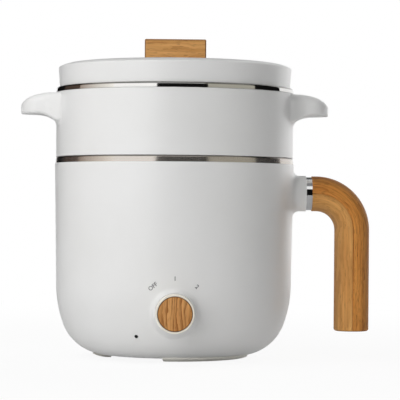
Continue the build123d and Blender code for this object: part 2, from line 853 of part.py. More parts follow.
with BuildPart() as inlet_screws:
    with BuildSketch(Plane.XZ.offset(-inlet_face)):
        with Locations((0, inlet_z)):
            with GridLocations(inlet_screw_spacing, 1, 2, 1):
                Circle(inlet_screw_head_radius)
    extrude(amount=-screw_head)
    with BuildSketch(Plane.XZ.offset(-inlet_face)):
        with Locations((0, inlet_z)):
            with GridLocations(inlet_screw_spacing, 1, 2, 1):
                Circle(screw_radius)
    extrude(amount=inlet_screw_length)
    fillet(inlet_screws.edges().group_by(Axis.Y)[-1], radius=inlet_screw_round)
inlet_screws.part.label = "inlet_screws"
export_step(inlet_screws.part, "parts/inlet_screws.step")

# Leads inside the base, each a round wire along straight runs and bends
terminal_y = -(switch_back - terminal_length / 2)
terminal_low = knob_z - terminal_sheet / 2
pin_low = leg_end - cold_pin_length
tail_z = inlet_z - live_pin_drop
earth_z = inlet_z + earth_pin_rise
lead_y = pin_tail - wire_lead
slope_y = lead_y - wire_slope
lamp_back = lens_plane.origin - lens_plane.z_dir * (lamp_boss_depth + lamp_length)
wire_routes = {
    "wire_live": [
        (pin_spacing / 2, pin_tail, tail_z),
        (pin_spacing / 2, lead_y, tail_z),
        (terminal_pitch, slope_y, pin_low - live_drop),
        (terminal_pitch, terminal_y, pin_low - live_drop),
        (terminal_pitch, terminal_y, terminal_low),
    ],
    "wire_neutral": [
        (-pin_spacing / 2, pin_tail, tail_z),
        (-pin_spacing / 2, lead_y, tail_z),
        (leg_points[1][0], slope_y, pin_low - neutral_drop),
        (*leg_points[1], pin_low - neutral_drop),
        (*leg_points[1], pin_low),
    ],
    "wire_heater": [
        (0, terminal_y, terminal_low),
        (0, terminal_y, pin_low - heater_drop),
        (*leg_points[0], pin_low - heater_drop),
        (*leg_points[0], pin_low),
    ],
    "wire_earth": [
        (0, pin_tail, earth_z),
        (0, earth_hole, earth_z),
        (0, earth_hole, plate_underside),
    ],
    "wire_lamp": [
        tuple(lamp_back),
        tuple(lamp_back - lens_plane.z_dir * lamp_lead),
        (-terminal_pitch, terminal_y, terminal_low - lamp_drop),
        (-terminal_pitch, terminal_y, terminal_low),
    ],
}
for wire_name, wire_points in wire_routes.items():
    wire_heading = Vector(*wire_points[1]) - Vector(*wire_points[0])
    with BuildPart() as wire:
        with BuildLine() as wire_path:
            FilletPolyline(*wire_points, radius=wire_bend)
        with BuildSketch(Plane(origin=wire_points[0], z_dir=wire_heading)):
            Circle(wire_radius)
        sweep(path=wire_path.line)
    wire.part.label = wire_name
    export_step(wire.part, f"parts/{wire_name}.step")

# Side handle: collar, two halves parted along the bar's middle line, clamp bolt and its nut
with BuildPart() as handle_ring:
    with BuildSketch(Plane.YZ.offset(stub_end)):
        with Locations((0, handle_z)):
            Circle(ring_radius)
            Circle(bolt_radius + slip_fit, mode=Mode.SUBTRACT)
    extrude(amount=ring_length)
handle_ring.part.label = "handle_ring"
export_step(handle_ring.part, "parts/handle_ring.step")

with BuildPart() as handle_insert:
    with BuildSketch(Plane.YZ.offset(insert_start)):
        with Locations((0, handle_z)):
            Circle(insert_radius)
            Circle(bolt_radius + running_fit, mode=Mode.SUBTRACT)
    extrude(amount=insert_length)
handle_insert.part.label = "handle_insert"
export_step(handle_insert.part, "parts/handle_insert.step")

with BuildPart() as handle_bolt:
    with BuildSketch(Plane.YZ.offset(bolt_seat)):
        with Locations((0, handle_z)):
            Circle(bolt_head_radius)
    extrude(amount=-bolt_head)
    with BuildSketch(Plane.YZ.offset(bolt_seat)):
        with Locations((0, handle_z)):
            Circle(bolt_radius)
    extrude(amount=insert_start + insert_length - bolt_seat)
handle_bolt.part.label = "handle_bolt"
export_step(handle_bolt.part, "parts/handle_bolt.step")

with BuildPart() as handle_bar:
    with BuildLine(Plane.XZ) as bar_path:
        bar_run = Line((handle_start, handle_z), (bend_start, handle_z))
        bar_bend = JernArc(bar_run @ 1, bar_run % 1, bend_radius, -90)
        Line(bar_bend @ 1, (grip_x, grip_bottom))
    with BuildSketch(Plane.YZ.offset(handle_start)):
        with Locations((0, handle_z)):
            Circle(wood_radius)
    sweep(path=bar_path.line)
    fillet(handle_bar.edges().group_by(Axis.Z)[0], radius=grip_end_round)

# Hollow inside the bar, from half way round the bend to near the grip's end
with BuildPart() as handle_room:
    with BuildLine(Plane.XZ) as room_path:
        room_bend = CenterArc((bend_start, bend_z), bend_radius, 45, -45)
        Line(room_bend @ 1, (grip_x, grip_bottom + wood_wall))
    with BuildSketch(Plane(origin=room_path.line @ 0, z_dir=room_path.line % 0)):
        Circle(wood_radius - wood_wall)
    sweep(path=room_path.line)
    with BuildSketch(Plane.YZ.offset(handle_start)):
        with Locations((0, handle_z)):
            Circle(bolt_radius + slip_fit)
    extrude(amount=insert_start - handle_start)
    with BuildSketch(Plane.YZ.offset(insert_start)):
        with Locations((0, handle_z)):
            Circle(insert_radius + running_fit)
    extrude(amount=insert_length + loose_fit)

# Everything on the outer side of the bar's middle line
with BuildPart() as outer_side:
    with BuildSketch(Plane.XZ):
        with BuildLine():
            split_run = Line((handle_start - overrun, handle_z), (bend_start, handle_z))
            split_bend = JernArc(split_run @ 1, split_run % 1, bend_radius, -90)
            Polyline(
                split_bend @ 1,
                (grip_x, grip_bottom - overrun),
                (grip_x + 2 * wood_radius, grip_bottom - overrun),
                (grip_x + 2 * wood_radius, handle_z + 2 * wood_radius),
                (handle_start - overrun, handle_z + 2 * wood_radius),
                split_run @ 0,
            )
        make_face()
    extrude(amount=2 * wood_radius, both=True)

# Shallow groove where the halves meet, on both sides of the bar
with BuildPart() as seam_groove:
    with BuildSketch(Plane.XZ.offset(wood_radius - seam_depth)):
        with BuildLine():
            groove_run = Line((handle_start - overrun, handle_z), (bend_start, handle_z))
            groove_bend = JernArc(groove_run @ 1, groove_run % 1, bend_radius, -90)
            Line(groove_bend @ 1, (grip_x, grip_bottom - overrun))
            offset(amount=seam_width / 2, side=Side.LEFT)
        make_face()
    extrude(amount=2 * seam_depth)
    with BuildSketch(Plane.XZ.offset(wood_radius - seam_depth)):
        with BuildLine():
            groove_run = Line((handle_start - overrun, handle_z), (bend_start, handle_z))
            groove_bend = JernArc(groove_run @ 1, groove_run % 1, bend_radius, -90)
            Line(groove_bend @ 1, (grip_x, grip_bottom - overrun))
            offset(amount=seam_width / 2, side=Side.RIGHT)
        make_face()
    extrude(amount=2 * seam_depth)
    mirror(about=Plane.XZ)

with BuildPart() as handle_outer_half:
    add(handle_bar.part)
    add(handle_room.part, mode=Mode.SUBTRACT)
    add(outer_side.part, mode=Mode.INTERSECT)
    add(seam_groove.part, mode=Mode.SUBTRACT)
handle_outer_half.part.label = "handle_outer_half"
export_step(handle_outer_half.part, "parts/handle_outer_half.step")

with BuildPart() as handle_inner_half:
    add(handle_bar.part)
    add(handle_room.part, mode=Mode.SUBTRACT)
    add(outer_side.part, mode=Mode.SUBTRACT)
    add(seam_groove.part, mode=Mode.SUBTRACT)
handle_inner_half.part.label = "handle_inner_half"
export_step(handle_inner_half.part, "parts/handle_inner_half.step")

# One lug of the steamer: its top falls in a long curve to a blunt nose, and its root widens into the wall
def quarter_ellipse(distance, reach):
    """Share of its full height that a quarter ellipse has at a distance from its tip."""
    inward = max(0.0, 1 - distance / reach)
    return math.sqrt(1 - inward**2)


lug_length = lug_reach + lug_bury
with BuildPart() as lug:
    for share in (0.0, 0.07, 0.18, 0.34, 0.52, 0.7, 0.86, 1.0):
        inward = share * lug_length
        nose = quarter_ellipse(inward + lug_nose_cut, lug_nose_reach)
        crown = quarter_ellipse(inward + lug_nose_cut, lug_crown_reach)
        root = max(0.0, 1 + (inward - lug_reach) / root_reach)
        half_width = lug_half_width * nose + root_flare * root**2
        low = lug_low - root_drop * min(1.0, root) ** 2
        high = lug_top - lug_crown_rise * (1 - crown)
        with BuildSketch(Plane.YZ.offset(lug_tip - inward)) as lug_section:
            with Locations((0, (low + high) / 2)):
                Rectangle(2 * half_width, high - low)
            fillet(lug_section.vertices().group_by(Axis.Y)[-1], radius=lug_top_round * nose)
            fillet(lug_section.vertices().group_by(Axis.Y)[0], radius=lug_edge_round)
    loft()

# Steamer shell: a double-walled ring that drops into the pot's mouth by a short skirt
skirt_outer = pot_inner_radius - loose_fit
skirt_inner = skirt_outer - steamer_skirt_wall
liner_outer = liner_inner_radius + sheet
with BuildPart() as steamer_shell:
    revolve(
        turned_face(
            (steamer_radius, pot_rim, top_edge_round),
            (steamer_radius, steamer_top, top_edge_round),
            (0, steamer_top),
            (0, pot_rim),
        ),
        axis=Axis.Z,
    )
    add([lug.part, lug.part.mirror(Plane.YZ)])
    revolve(
        turned_face(
            (0, steamer_top),
            (steamer_radius - steamer_wall, steamer_top),
            (steamer_radius - steamer_wall, pot_rim + steamer_wall, steamer_corner),
            (skirt_inner - steamer_skirt_wall, pot_rim + steamer_wall),
            (skirt_inner - steamer_skirt_wall, pot_rim),
            (0, pot_rim),
        ),
        axis=Axis.Z,
        mode=Mode.SUBTRACT,
    )
    revolve(
        turned_face(
            (skirt_inner, pot_rim + steamer_wall / 2),
            (skirt_inner, pot_rim - steamer_skirt_depth, steamer_skirt_round),
            (skirt_outer, pot_rim - steamer_skirt_depth, steamer_skirt_round),
            (skirt_outer, pot_rim + steamer_wall / 2),
        ),
        axis=Axis.Z,
    )
steamer_shell.part.label = "steamer_shell"
export_step(steamer_shell.part, "parts/steamer_shell.step")

# Steel liner of the steamer, its flange turned down over the shell as the upper band
liner_skirt_low = body_radius - liner_skirt_inset
liner_skirt_top = liner_skirt_low - liner_skirt_flare
with BuildPart() as steamer_liner:
    revolve(
        turned_face(
            (liner_outer - liner_ledge, ledge_top),
            (liner_inner_radius, ledge_top, rim_roll),
            (liner_inner_radius, liner_rim, rim_roll),
            (liner_skirt_top, liner_rim, liner_edge_round),
            (liner_skirt_low, steamer_top),
            (liner_skirt_low - sheet, steamer_top),
            (liner_skirt_top - sheet, liner_rim - sheet, liner_edge_round - sheet),
            (liner_outer, liner_rim - sheet, rim_roll - sheet),
            (liner_outer, ledge_top - sheet, rim_roll + sheet),
            (liner_outer - liner_ledge, ledge_top - sheet),
        ),
        axis=Axis.Z,
    )
steamer_liner.part.label = "steamer_liner"
export_step(steamer_liner.part, "parts/steamer_liner.step")

# Perforated floor resting on the liner's ledge
steam_plate_radius = liner_inner_radius - rim_roll - loose_fit
hole_ring = (steam_plate_radius - liner_ledge) / (plate_rings + 1)
with BuildPart() as steam_plate:
    with BuildSketch(Plane.XY.offset(ledge_top)):
        Circle(steam_plate_radius)
        Circle(plate_hole_radius, mode=Mode.SUBTRACT)
        for ring in range(1, plate_rings + 1):
            with PolarLocations(ring * hole_ring, 6 * ring):
                Circle(plate_hole_radius, mode=Mode.SUBTRACT)
    extrude(amount=plate_thickness)
steam_plate.part.label = "steam_plate"
export_step(steam_plate.part, "parts/steam_plate.step")

# Lid shell with a shallow shoulder, closed below by a plug panel
lid_low_radius = body_radius - lid_inset
lid_edge_radius = lid_low_radius + lid_flare
lid_inner = lid_low_radius - lid_wall
seat_z = liner_rim + panel_seat
with BuildPart() as lid_shell:
    revolve(
        turned_face(
            (lid_low_radius, liner_rim, lid_foot_round),
            (lid_edge_radius, lid_edge, lid_edge_round),
            (lid_edge_radius - lid_shoulder, lid_top, lid_crown_round),
            (0, lid_top),
            (0, lid_top - lid_wall),
            (lid_edge_radius - lid_shoulder - lid_inside_step, lid_top - lid_wall, lid_inside_round),
            (lid_inner - panel_step, lid_edge - lid_wall / 2, panel_corner),
            (lid_inner - panel_step, seat_z),
            (lid_inner, seat_z),
            (lid_inner, liner_rim),
        ),
        axis=Axis.Z,
    )
    with BuildSketch(Plane.XY.offset(lid_top)):
        with GridLocations(lid_screw_spacing, 1, 2, 1):
            Circle(lid_screw_radius + slip_fit)
        with Locations((0, vent_offset)):
            Circle(vent_radius)
    extrude(amount=-2 * lid_wall, mode=Mode.SUBTRACT)
lid_shell.part.label = "lid_shell"
export_step(lid_shell.part, "parts/lid_shell.step")

plug_radius = liner_inner_radius - plug_gap
plug_low = liner_rim - lid_plug_depth
flange_low = seat_z - panel_thickness
with BuildPart() as lid_inner_panel:
    revolve(
        turned_face(
            (0, plug_low),
            (plug_radius, plug_low, plug_corner),
            (plug_radius, flange_low),
            (lid_inner - slip_fit, flange_low),
            (lid_inner - slip_fit, seat_z),
            (plug_radius - panel_thickness, seat_z, panel_corner),
            (plug_radius - panel_thickness, plug_low + panel_thickness, plug_corner - panel_thickness),
            (0, plug_low + panel_thickness),
        ),
        axis=Axis.Z,
    )
    with BuildSketch(Plane.XY.offset(plug_low)):
        with Locations((0, vent_offset)):
            Circle(vent_radius)
    extrude(amount=panel_thickness, mode=Mode.SUBTRACT)
lid_inner_panel.part.label = "lid_inner_panel"
export_step(lid_inner_panel.part, "parts/lid_inner_panel.step")

with BuildPart() as lid_seal:
    revolve(
        turned_face(
            (plug_radius + running_fit, liner_rim + lid_seal_lift),
            (lid_inner - lid_seal_inset, liner_rim + lid_seal_lift, seal_round),
            (lid_inner - lid_seal_inset, flange_low),
            (plug_radius + running_fit, flange_low),
        ),
        axis=Axis.Z,
    )
lid_seal.part.label = "lid_seal"
export_step(lid_seal.part, "parts/lid_seal.step")

# Bar on top of the lid and its two screws from below
with BuildPart() as lid_handle:
    with BuildSketch(Plane.XY.offset(lid_top)):
        Rectangle(lid_bar_length, lid_bar_depth)
    extrude(amount=lid_bar_height)
    fillet(lid_handle.edges().filter_by(Axis.Z), radius=lid_bar_round)
    fillet(lid_handle.edges().group_by(Axis.Z)[-1], radius=lid_bar_top_round)
    with BuildSketch(Plane.XY.offset(lid_top)):
        with GridLocations(lid_screw_spacing, 1, 2, 1):
            Circle(lid_screw_radius + running_fit)
    extrude(amount=lid_screw_hole, mode=Mode.SUBTRACT)
lid_handle.part.label = "lid_handle"
export_step(lid_handle.part, "parts/lid_handle.step")

with BuildPart() as lid_handle_screws:
    with BuildSketch(Plane.XY.offset(lid_top - lid_wall)):
        with GridLocations(lid_screw_spacing, 1, 2, 1):
            Circle(lid_screw_head_radius)
    extrude(amount=-lid_screw_head)
    with BuildSketch(Plane.XY.offset(lid_top - lid_wall)):
        with GridLocations(lid_screw_spacing, 1, 2, 1):
            Circle(lid_screw_radius)
    extrude(amount=lid_wall + lid_screw_grip)
lid_handle_screws.part.label = "lid_handle_screws"
export_step(lid_handle_screws.part, "parts/lid_handle_screws.step")
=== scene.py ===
import math

import bpy
from mathutils import Euler, Matrix, Vector


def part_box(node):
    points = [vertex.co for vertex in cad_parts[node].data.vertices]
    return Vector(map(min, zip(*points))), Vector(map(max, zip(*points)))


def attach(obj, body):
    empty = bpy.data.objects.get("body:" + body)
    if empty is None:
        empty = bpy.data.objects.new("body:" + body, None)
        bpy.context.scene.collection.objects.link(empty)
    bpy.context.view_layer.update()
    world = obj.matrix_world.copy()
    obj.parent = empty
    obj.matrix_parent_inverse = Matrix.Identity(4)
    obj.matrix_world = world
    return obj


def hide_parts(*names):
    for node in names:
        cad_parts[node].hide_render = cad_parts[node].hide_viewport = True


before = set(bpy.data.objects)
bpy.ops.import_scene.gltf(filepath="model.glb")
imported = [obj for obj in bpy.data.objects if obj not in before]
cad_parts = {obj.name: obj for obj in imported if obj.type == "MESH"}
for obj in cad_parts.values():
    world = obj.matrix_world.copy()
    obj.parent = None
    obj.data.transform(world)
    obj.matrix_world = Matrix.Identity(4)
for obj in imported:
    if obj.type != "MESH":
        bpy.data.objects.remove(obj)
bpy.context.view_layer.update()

bl_info = {
    "name": "Multicooker Dresser",
    "version": (1, 0, 0),
    "blender": (4, 5, 0),
    "location": "View3D > Sidebar > Cooker",
    "description": "Gives the multicooker its finishes, dial marks, screws, lug blends and studio stage",
    "category": "Object",
}


def box_of(node):
    """Lowest and highest corner of a CAD node, as vectors."""
    low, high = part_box(node)
    return Vector(low), Vector(high)


# Places read from the frame

grip_low, grip_high = box_of("handle_outer_half")
GRIP_RADIUS = (grip_high.y - grip_low.y) / 2
GRIP_X = grip_high.x - GRIP_RADIUS
ARM_Z = grip_high.z - GRIP_RADIUS
disc_low, disc_high = box_of("knob_disc")
DIAL_Z = (disc_low.z + disc_high.z) / 2
DIAL_FRONT = disc_low.y
DISC_RADIUS = (disc_high.x - disc_low.x) / 2
bar_low, bar_high = box_of("lid_handle")
base_screws_low, base_screws_high = box_of("base_screws")
inlet_screws_low, inlet_screws_high = box_of("inlet_screws")

# Settings that the panel shows


class CookerSizes(bpy.types.PropertyGroup):
    """Sizes of the pieces that are added to the CAD model"""

    bend_radius: bpy.props.FloatProperty(
        name="Grip bend",
        description="Radius of the grip's bend along its middle line, which the grain follows",
        default=0.0284,
        unit="LENGTH",
    )
    mark_ring: bpy.props.FloatProperty(
        name="Mark ring",
        description="Distance from the dial's axis to the middle of each mark",
        default=0.0256,
        unit="LENGTH",
    )
    mark_height: bpy.props.FloatProperty(
        name="Mark height",
        description="Height of the letters and numbers round the dial",
        default=0.0032,
        unit="LENGTH",
    )
    mark_step: bpy.props.FloatProperty(
        name="Mark step",
        description="Angle between two marks round the dial",
        default=math.radians(40),
        subtype="ANGLE",
    )
    mark_film: bpy.props.FloatProperty(
        name="Print thickness",
        description="How far the printed marks stand off the body",
        default=0.00006,
        unit="LENGTH",
    )
    mark_weight: bpy.props.FloatProperty(
        name="Mark weight",
        description="How much the letters' strokes are thickened, as a share of their size",
        default=0.02,
    )
    screw_head_radius: bpy.props.FloatProperty(
        name="Screw head",
        description="Radius of a base screw's head",
        default=0.0032,
        unit="LENGTH",
    )
    screw_head_height: bpy.props.FloatProperty(
        name="Screw head height",
        description="Height of a screw's head",
        default=0.0017,
        unit="LENGTH",
    )
    screw_radius: bpy.props.FloatProperty(
        name="Screw thread",
        description="Outer radius of a screw's thread",
        default=0.0015,
        unit="LENGTH",
    )
    inlet_head_radius: bpy.props.FloatProperty(
        name="Inlet screw head",
        description="Radius of an inlet screw's head",
        default=0.0028,
        unit="LENGTH",
    )
    blend_reach: bpy.props.FloatProperty(
        name="Blend reach",
        description="How far the blend of a lug goes out from the steamer's wall and in from it",
        default=0.016,
        unit="LENGTH",
    )
    blend_width: bpy.props.FloatProperty(
        name="Blend width",
        description="Width of the wall that takes part in the blend of a lug",
        default=0.084,
        unit="LENGTH",
    )
    blend_height: bpy.props.FloatProperty(
        name="Blend height",
        description="Height of the wall that takes part in the blend of a lug",
        default=0.036,
        unit="LENGTH",
    )
    blend_voxel: bpy.props.FloatProperty(
        name="Blend mesh",
        description="Edge length of the mesh of a blend",
        default=0.0008,
        unit="LENGTH",
    )
    blend_sink: bpy.props.FloatProperty(
        name="Blend sink",
        description="How far a blend's edges lie under the shell's surface",
        default=0.00006,
        unit="LENGTH",
    )


class CookerColours(bpy.types.PropertyGroup):
    """Colours of the finishes"""

    shell: bpy.props.FloatVectorProperty(
        name="Shell white",
        description="Lighter tone of the moulded white shells",
        default=(0.86, 0.86, 0.855),
        subtype="COLOR",
        size=3,
    )
    shell_shade: bpy.props.FloatVectorProperty(
        name="Shell shade",
        description="Darker tone of the moulded white shells",
        default=(0.83, 0.83, 0.82),
        subtype="COLOR",
        size=3,
    )
    oak_light: bpy.props.FloatVectorProperty(
        name="Oak light",
        description="Lightest tone of the oak grain",
        default=(0.74, 0.37, 0.12),
        subtype="COLOR",
        size=3,
    )
    oak_mid: bpy.props.FloatVectorProperty(
        name="Oak middle",
        description="Main tone of the oak grain",
        default=(0.60, 0.27, 0.075),
        subtype="COLOR",
        size=3,
    )
    oak_dark: bpy.props.FloatVectorProperty(
        name="Oak dark",
        description="Dark streaks of the oak grain",
        default=(0.33, 0.11, 0.020),
        subtype="COLOR",
        size=3,
    )
    steel: bpy.props.FloatVectorProperty(
        name="Steel",
        description="Tone of the polished steel",
        default=(0.78, 0.77, 0.75),
        subtype="COLOR",
        size=3,
    )
    mark: bpy.props.FloatVectorProperty(
        name="Marks",
        description="Grey of the printed marks",
        default=(0.19, 0.19, 0.19),
        subtype="COLOR",
        size=3,
    )
    floor: bpy.props.FloatVectorProperty(
        name="Floor",
        description="Colour of the floor",
        default=(0.9, 0.9, 0.9),
        subtype="COLOR",
        size=3,
    )


class CookerStage(bpy.types.PropertyGroup):
    """Camera and light"""

    eye: bpy.props.FloatVectorProperty(
        name="Eye",
        description="Place of the camera",
        default=(-0.019, -1.576, 0.1157),
        subtype="XYZ",
        unit="LENGTH",
        size=3,
    )
    aim: bpy.props.FloatVectorProperty(
        name="Aim",
        description="Point at the middle of the picture",
        default=(0.0203, 0.0, 0.1234),
        subtype="XYZ",
        unit="LENGTH",
        size=3,
    )
    roll: bpy.props.FloatProperty(
        name="Roll",
        description="Turn of the camera about its line of sight",
        default=math.radians(0.46),
        subtype="ANGLE",
    )
    lens: bpy.props.FloatProperty(
        name="Lens",
        description="Focal length in millimetres",
        default=180.3,
    )
    key_power: bpy.props.FloatProperty(
        name="Key light",
        description="Power of the large soft light on the left, in watts",
        default=15.5,
    )
    edge_power: bpy.props.FloatProperty(
        name="Edge light",
        description="Power of the light behind on the right, in watts",
        default=18.5,
    )
    top_power: bpy.props.FloatProperty(
        name="Top light",
        description="Power of the light high on the left, in watts",
        default=9.2,
    )
    fill: bpy.props.FloatProperty(
        name="Fill",
        description="Strength of the light from all round",
        default=0.207,
    )


# Node helpers

# Sockets of a Mix node for colours, by number because their names repeat
MIX_FACTOR = 0
MIX_FIRST = 6
MIX_SECOND = 7
MIX_RESULT = 2
WHITE = (1, 1, 1, 1)


def add_node(tree, kind, settings=None, inputs=None):
    """New node with its settings, and its inputs set to constants or linked to outputs."""
    node = tree.nodes.new(kind)
    for name, value in (settings or {}).items():
        setattr(node, name, value)
    for name, value in (inputs or {}).items():
        if isinstance(value, bpy.types.NodeSocket):
            tree.links.new(value, node.inputs[name])
        else:
            node.inputs[name].default_value = value
    return node


def reckon(tree, operation, first, second=0.0):
    """Output of a Math node."""
    return add_node(tree, "ShaderNodeMath", {"operation": operation}, {0: first, 1: second}).outputs[0]


def axes(tree, vector):
    """The parts of a vector, by axis letter."""
    return add_node(tree, "ShaderNodeSeparateXYZ", inputs={"Vector": vector}).outputs


def made_of(tree, x, y, z):
    """Vector made of three parts."""
    return add_node(tree, "ShaderNodeCombineXYZ", inputs={"X": x, "Y": y, "Z": z}).outputs["Vector"]


def reach_of(tree, first, second):
    """Distance that two parts at right angles give."""
    squares = reckon(
        tree, "ADD", reckon(tree, "MULTIPLY", first, first), reckon(tree, "MULTIPLY", second, second)
    )
    return reckon(tree, "SQRT", squares)


def ramp(tree, factor, *stops):
    """Output of a colour ramp, from stops given as place and colour."""
    node = add_node(tree, "ShaderNodeValToRGB", inputs={"Fac": factor})
    elements = node.color_ramp.elements
    while len(elements) < len(stops):
        elements.new(0.5)
    for element, (place, colour) in zip(elements, stops):
        element.position = place
        element.color = (*colour, 1.0)
    return node.outputs["Color"]


def grey(level):
    """Grey colour of one level."""
    return (level, level, level)


def scaled(tone, share):
    """Every part of a colour or a vector multiplied by a share."""
    return tuple(level * share for level in tone)


def noise(tree, vector, scale=1.0, detail=2.0, distortion=0.0):
    """Factor of a noise texture."""
    inputs = {"Vector": vector, "Scale": scale, "Detail": detail, "Distortion": distortion}
    return add_node(tree, "ShaderNodeTexNoise", inputs=inputs).outputs["Fac"]


def spread(tree, value, low, high):
    """Value from 0 to 1 spread over a range."""
    return add_node(
        tree, "ShaderNodeMapRange", inputs={"Value": value, "To Min": low, "To Max": high}
    ).outputs["Result"]


def spread_between(tree, value, start, end, low, high):
    """Value that goes smoothly from low to high between two places."""
    return add_node(
        tree,
        "ShaderNodeMapRange",
        {"interpolation_type": "SMOOTHSTEP"},
        {"Value": value, "From Min": start, "From Max": end, "To Min": low, "To Max": high},
    ).outputs["Result"]


def stretched(tree, vector, scale):
    """Vector scaled on each axis."""
    return add_node(
        tree, "ShaderNodeVectorMath", {"operation": "MULTIPLY"}, {0: vector, 1: scale}
    ).outputs["Vector"]


def multiplied(tree, first, second):
    """Product of two varying colours."""
    settings = {"data_type": "RGBA", "blend_type": "MULTIPLY"}
    inputs = {MIX_FACTOR: 1.0, MIX_FIRST: first, MIX_SECOND: second}
    return add_node(tree, "ShaderNodeMix", settings, inputs).outputs[MIX_RESULT]


def mixed(tree, factor, first, second):
    """Blend of a varying colour into a constant one."""
    inputs = {MIX_FACTOR: factor, MIX_FIRST: first, MIX_SECOND: (*second, 1.0)}
    return add_node(tree, "ShaderNodeMix", {"data_type": "RGBA"}, inputs).outputs[MIX_RESULT]


def seen_directly(tree):
    """One for rays from the camera, from reflections and through glass, and zero for the rest."""
    path = add_node(tree, "ShaderNodeLightPath").outputs
    seen = reckon(tree, "MAXIMUM", path["Is Camera Ray"], path["Is Glossy Ray"])
    return reckon(tree, "MAXIMUM", seen, path["Is Transmission Ray"])


def start_finish(name):
    """New material: its node tree, its shader and its object coordinates."""
    material = bpy.data.materials.new(name)
    material.use_nodes = True
    tree = material.node_tree
    shader = tree.nodes["Principled BSDF"]
    place = add_node(tree, "ShaderNodeTexCoord").outputs["Object"]
    return material, tree, shader, place


def surfaced(tree, shader, colour, roughness):
    """Gives the shader a varying colour and a varying roughness."""
    tree.links.new(colour, shader.inputs["Base Color"])
    tree.links.new(roughness, shader.inputs["Roughness"])


def bumped(tree, shader, height, depth):
    """Gives the shader a bump of a real depth in metres."""
    bump = add_node(
        tree, "ShaderNodeBump", inputs={"Height": height, "Distance": depth, "Strength": 1.0}
    )
    tree.links.new(bump.outputs["Normal"], shader.inputs["Normal"])


def dress(material, *nodes):
    """Puts a material in the slots of CAD nodes."""
    for node in nodes:
        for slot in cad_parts[node].material_slots:
            slot.material = material


# Finishes of plastic, metal and rubber

GLOSS_SPREAD = 0.04
BRUSH_TURN = 0.25
STEEL_DULLING = 0.88
STEEL_GLOSS_SHARE = 0.15
METAL_DULLING = 0.85
METAL_GLOSS_SHARE = 0.3
DUST_GAIN = 1.08
DUST_LIFT = 0.005
# Painted shade in the gap above a rolled steel edge: its tone, its strength, and how far in from the rim it
# starts and ends
GAP_SHADE_TONE = (0.045, 0.04, 0.035)
GAP_SHADE_SHARE = 0.7
GAP_SHADE_WIDTH = 0.0016
GAP_SHADE_EDGE = 0.0009


def moulded_plastic(name, light, shade, gloss, grain_depth=0.000012):
    """Moulded plastic: faint cloudy tone, fine spark-eroded grain and uneven gloss."""
    material, tree, shader, place = start_finish(name)
    cloud = noise(tree, place, scale=14.0, detail=3.0)
    patches = noise(tree, place, scale=90.0)
    surfaced(
        tree,
        shader,
        ramp(tree, cloud, (0.3, shade), (0.7, light)),
        spread(tree, patches, gloss - GLOSS_SPREAD, gloss + GLOSS_SPREAD),
    )
    bumped(tree, shader, noise(tree, place, scale=2200.0, detail=1.0), grain_depth)
    return material


def painted_gap_shade(tree, radius, height, node, depth):
    """Painted shade: a dark line of a depth where a node's rolled edge meets the piece above it, standing
    in for the shadow in the gap.
    """
    top = box_of(node)[1]
    up = spread_between(tree, height, top.z - depth, top.z - depth / 2, low=0.0, high=GAP_SHADE_SHARE)
    out = spread_between(tree, radius, top.x - GAP_SHADE_WIDTH, top.x - GAP_SHADE_EDGE, low=0.0, high=1.0)
    return reckon(tree, "MULTIPLY", up, out)


def turned_steel(name, tone, gloss, line_depth, smear, node, gap_shade_depth):
    """Steel turned or brushed round the upright axis, with painted shade on the node's rolled edge where
    the piece above meets it.
    """
    material, tree, shader, place = start_finish(name)
    shader.inputs["Metallic"].default_value = 1.0
    shader.inputs["Anisotropic"].default_value = smear
    shader.inputs["Anisotropic Rotation"].default_value = BRUSH_TURN
    parts = axes(tree, place)
    radius = reach_of(tree, parts["X"], parts["Y"])
    lines = noise(tree, made_of(tree, radius, parts["Z"], 0.0), scale=5200.0)
    cloud = noise(tree, place, scale=30.0)
    dull = scaled(tone, STEEL_DULLING)
    colour = ramp(tree, reckon(tree, "MULTIPLY", lines, cloud), (0.1, dull), (0.45, tone))
    # Painted shade of the gap where the rolled edge meets the piece above
    gap_shade = painted_gap_shade(tree, radius, parts["Z"], node, gap_shade_depth)
    surfaced(
        tree,
        shader,
        mixed(tree, gap_shade, colour, GAP_SHADE_TONE),
        spread(tree, lines, gloss * (1 - STEEL_GLOSS_SHARE), gloss * (1 + STEEL_GLOSS_SHARE)),
    )
    bumped(tree, shader, lines, line_depth)
    return material


def plain_metal(name, tone, gloss):
    """Metal with faint stains and an uneven polish."""
    material, tree, shader, place = start_finish(name)
    shader.inputs["Metallic"].default_value = 1.0
    stain = noise(tree, place, scale=160.0, detail=3.0)
    surfaced(
        tree,
        shader,
        ramp(tree, stain, (0.3, scaled(tone, METAL_DULLING)), (0.65, tone)),
        spread(tree, stain, gloss * (1 - METAL_GLOSS_SHARE), gloss * (1 + METAL_GLOSS_SHARE)),
    )
    return material


def soft_rubber(name, tone):
    """Matte rubber or silicone with a dusty tone."""
    material, tree, shader, place = start_finish(name)
    dust = noise(tree, place, scale=220.0, detail=4.0)
    pale = tuple(min(1.0, level * DUST_GAIN + DUST_LIFT) for level in tone)
    surfaced(
        tree,
        shader,
        ramp(tree, dust, (0.35, tone), (0.75, pale)),
        spread(tree, dust, low=0.55, high=0.8),
    )
    bumped(tree, shader, noise(tree, place, scale=1600.0), depth=0.00002)
    return material


# Oak

# How often each detail of the grain repeats in a metre: across, in depth and along
BROAD_TONES = (130.0, 130.0, 16.0)
RING_PATCHES = (190.0, 190.0, 34.0)
FINE_FIBRES = (1500.0, 1500.0, 26.0)
SHORT_PORES = (1900.0, 1900.0, 170.0)
SLOW_SWAY = (110.0, 60.0, 24.0)
QUICK_SWAY = (330.0, 200.0, 85.0)
SLOW_SWAY_RINGS = 3.6
QUICK_SWAY_RINGS = 1.3
FAINT_RINGS = 0.3
FIBRE_SHADE = 0.80
PORE_SHADE = 0.60
OAK_SPECULAR = 0.3
SEED_SHARES = (1.0, 0.7, 0.3)
# Tone of the painted shade on the oak's edges
PAINTED_EDGE_SHADE = (0.16, 0.075, 0.032)
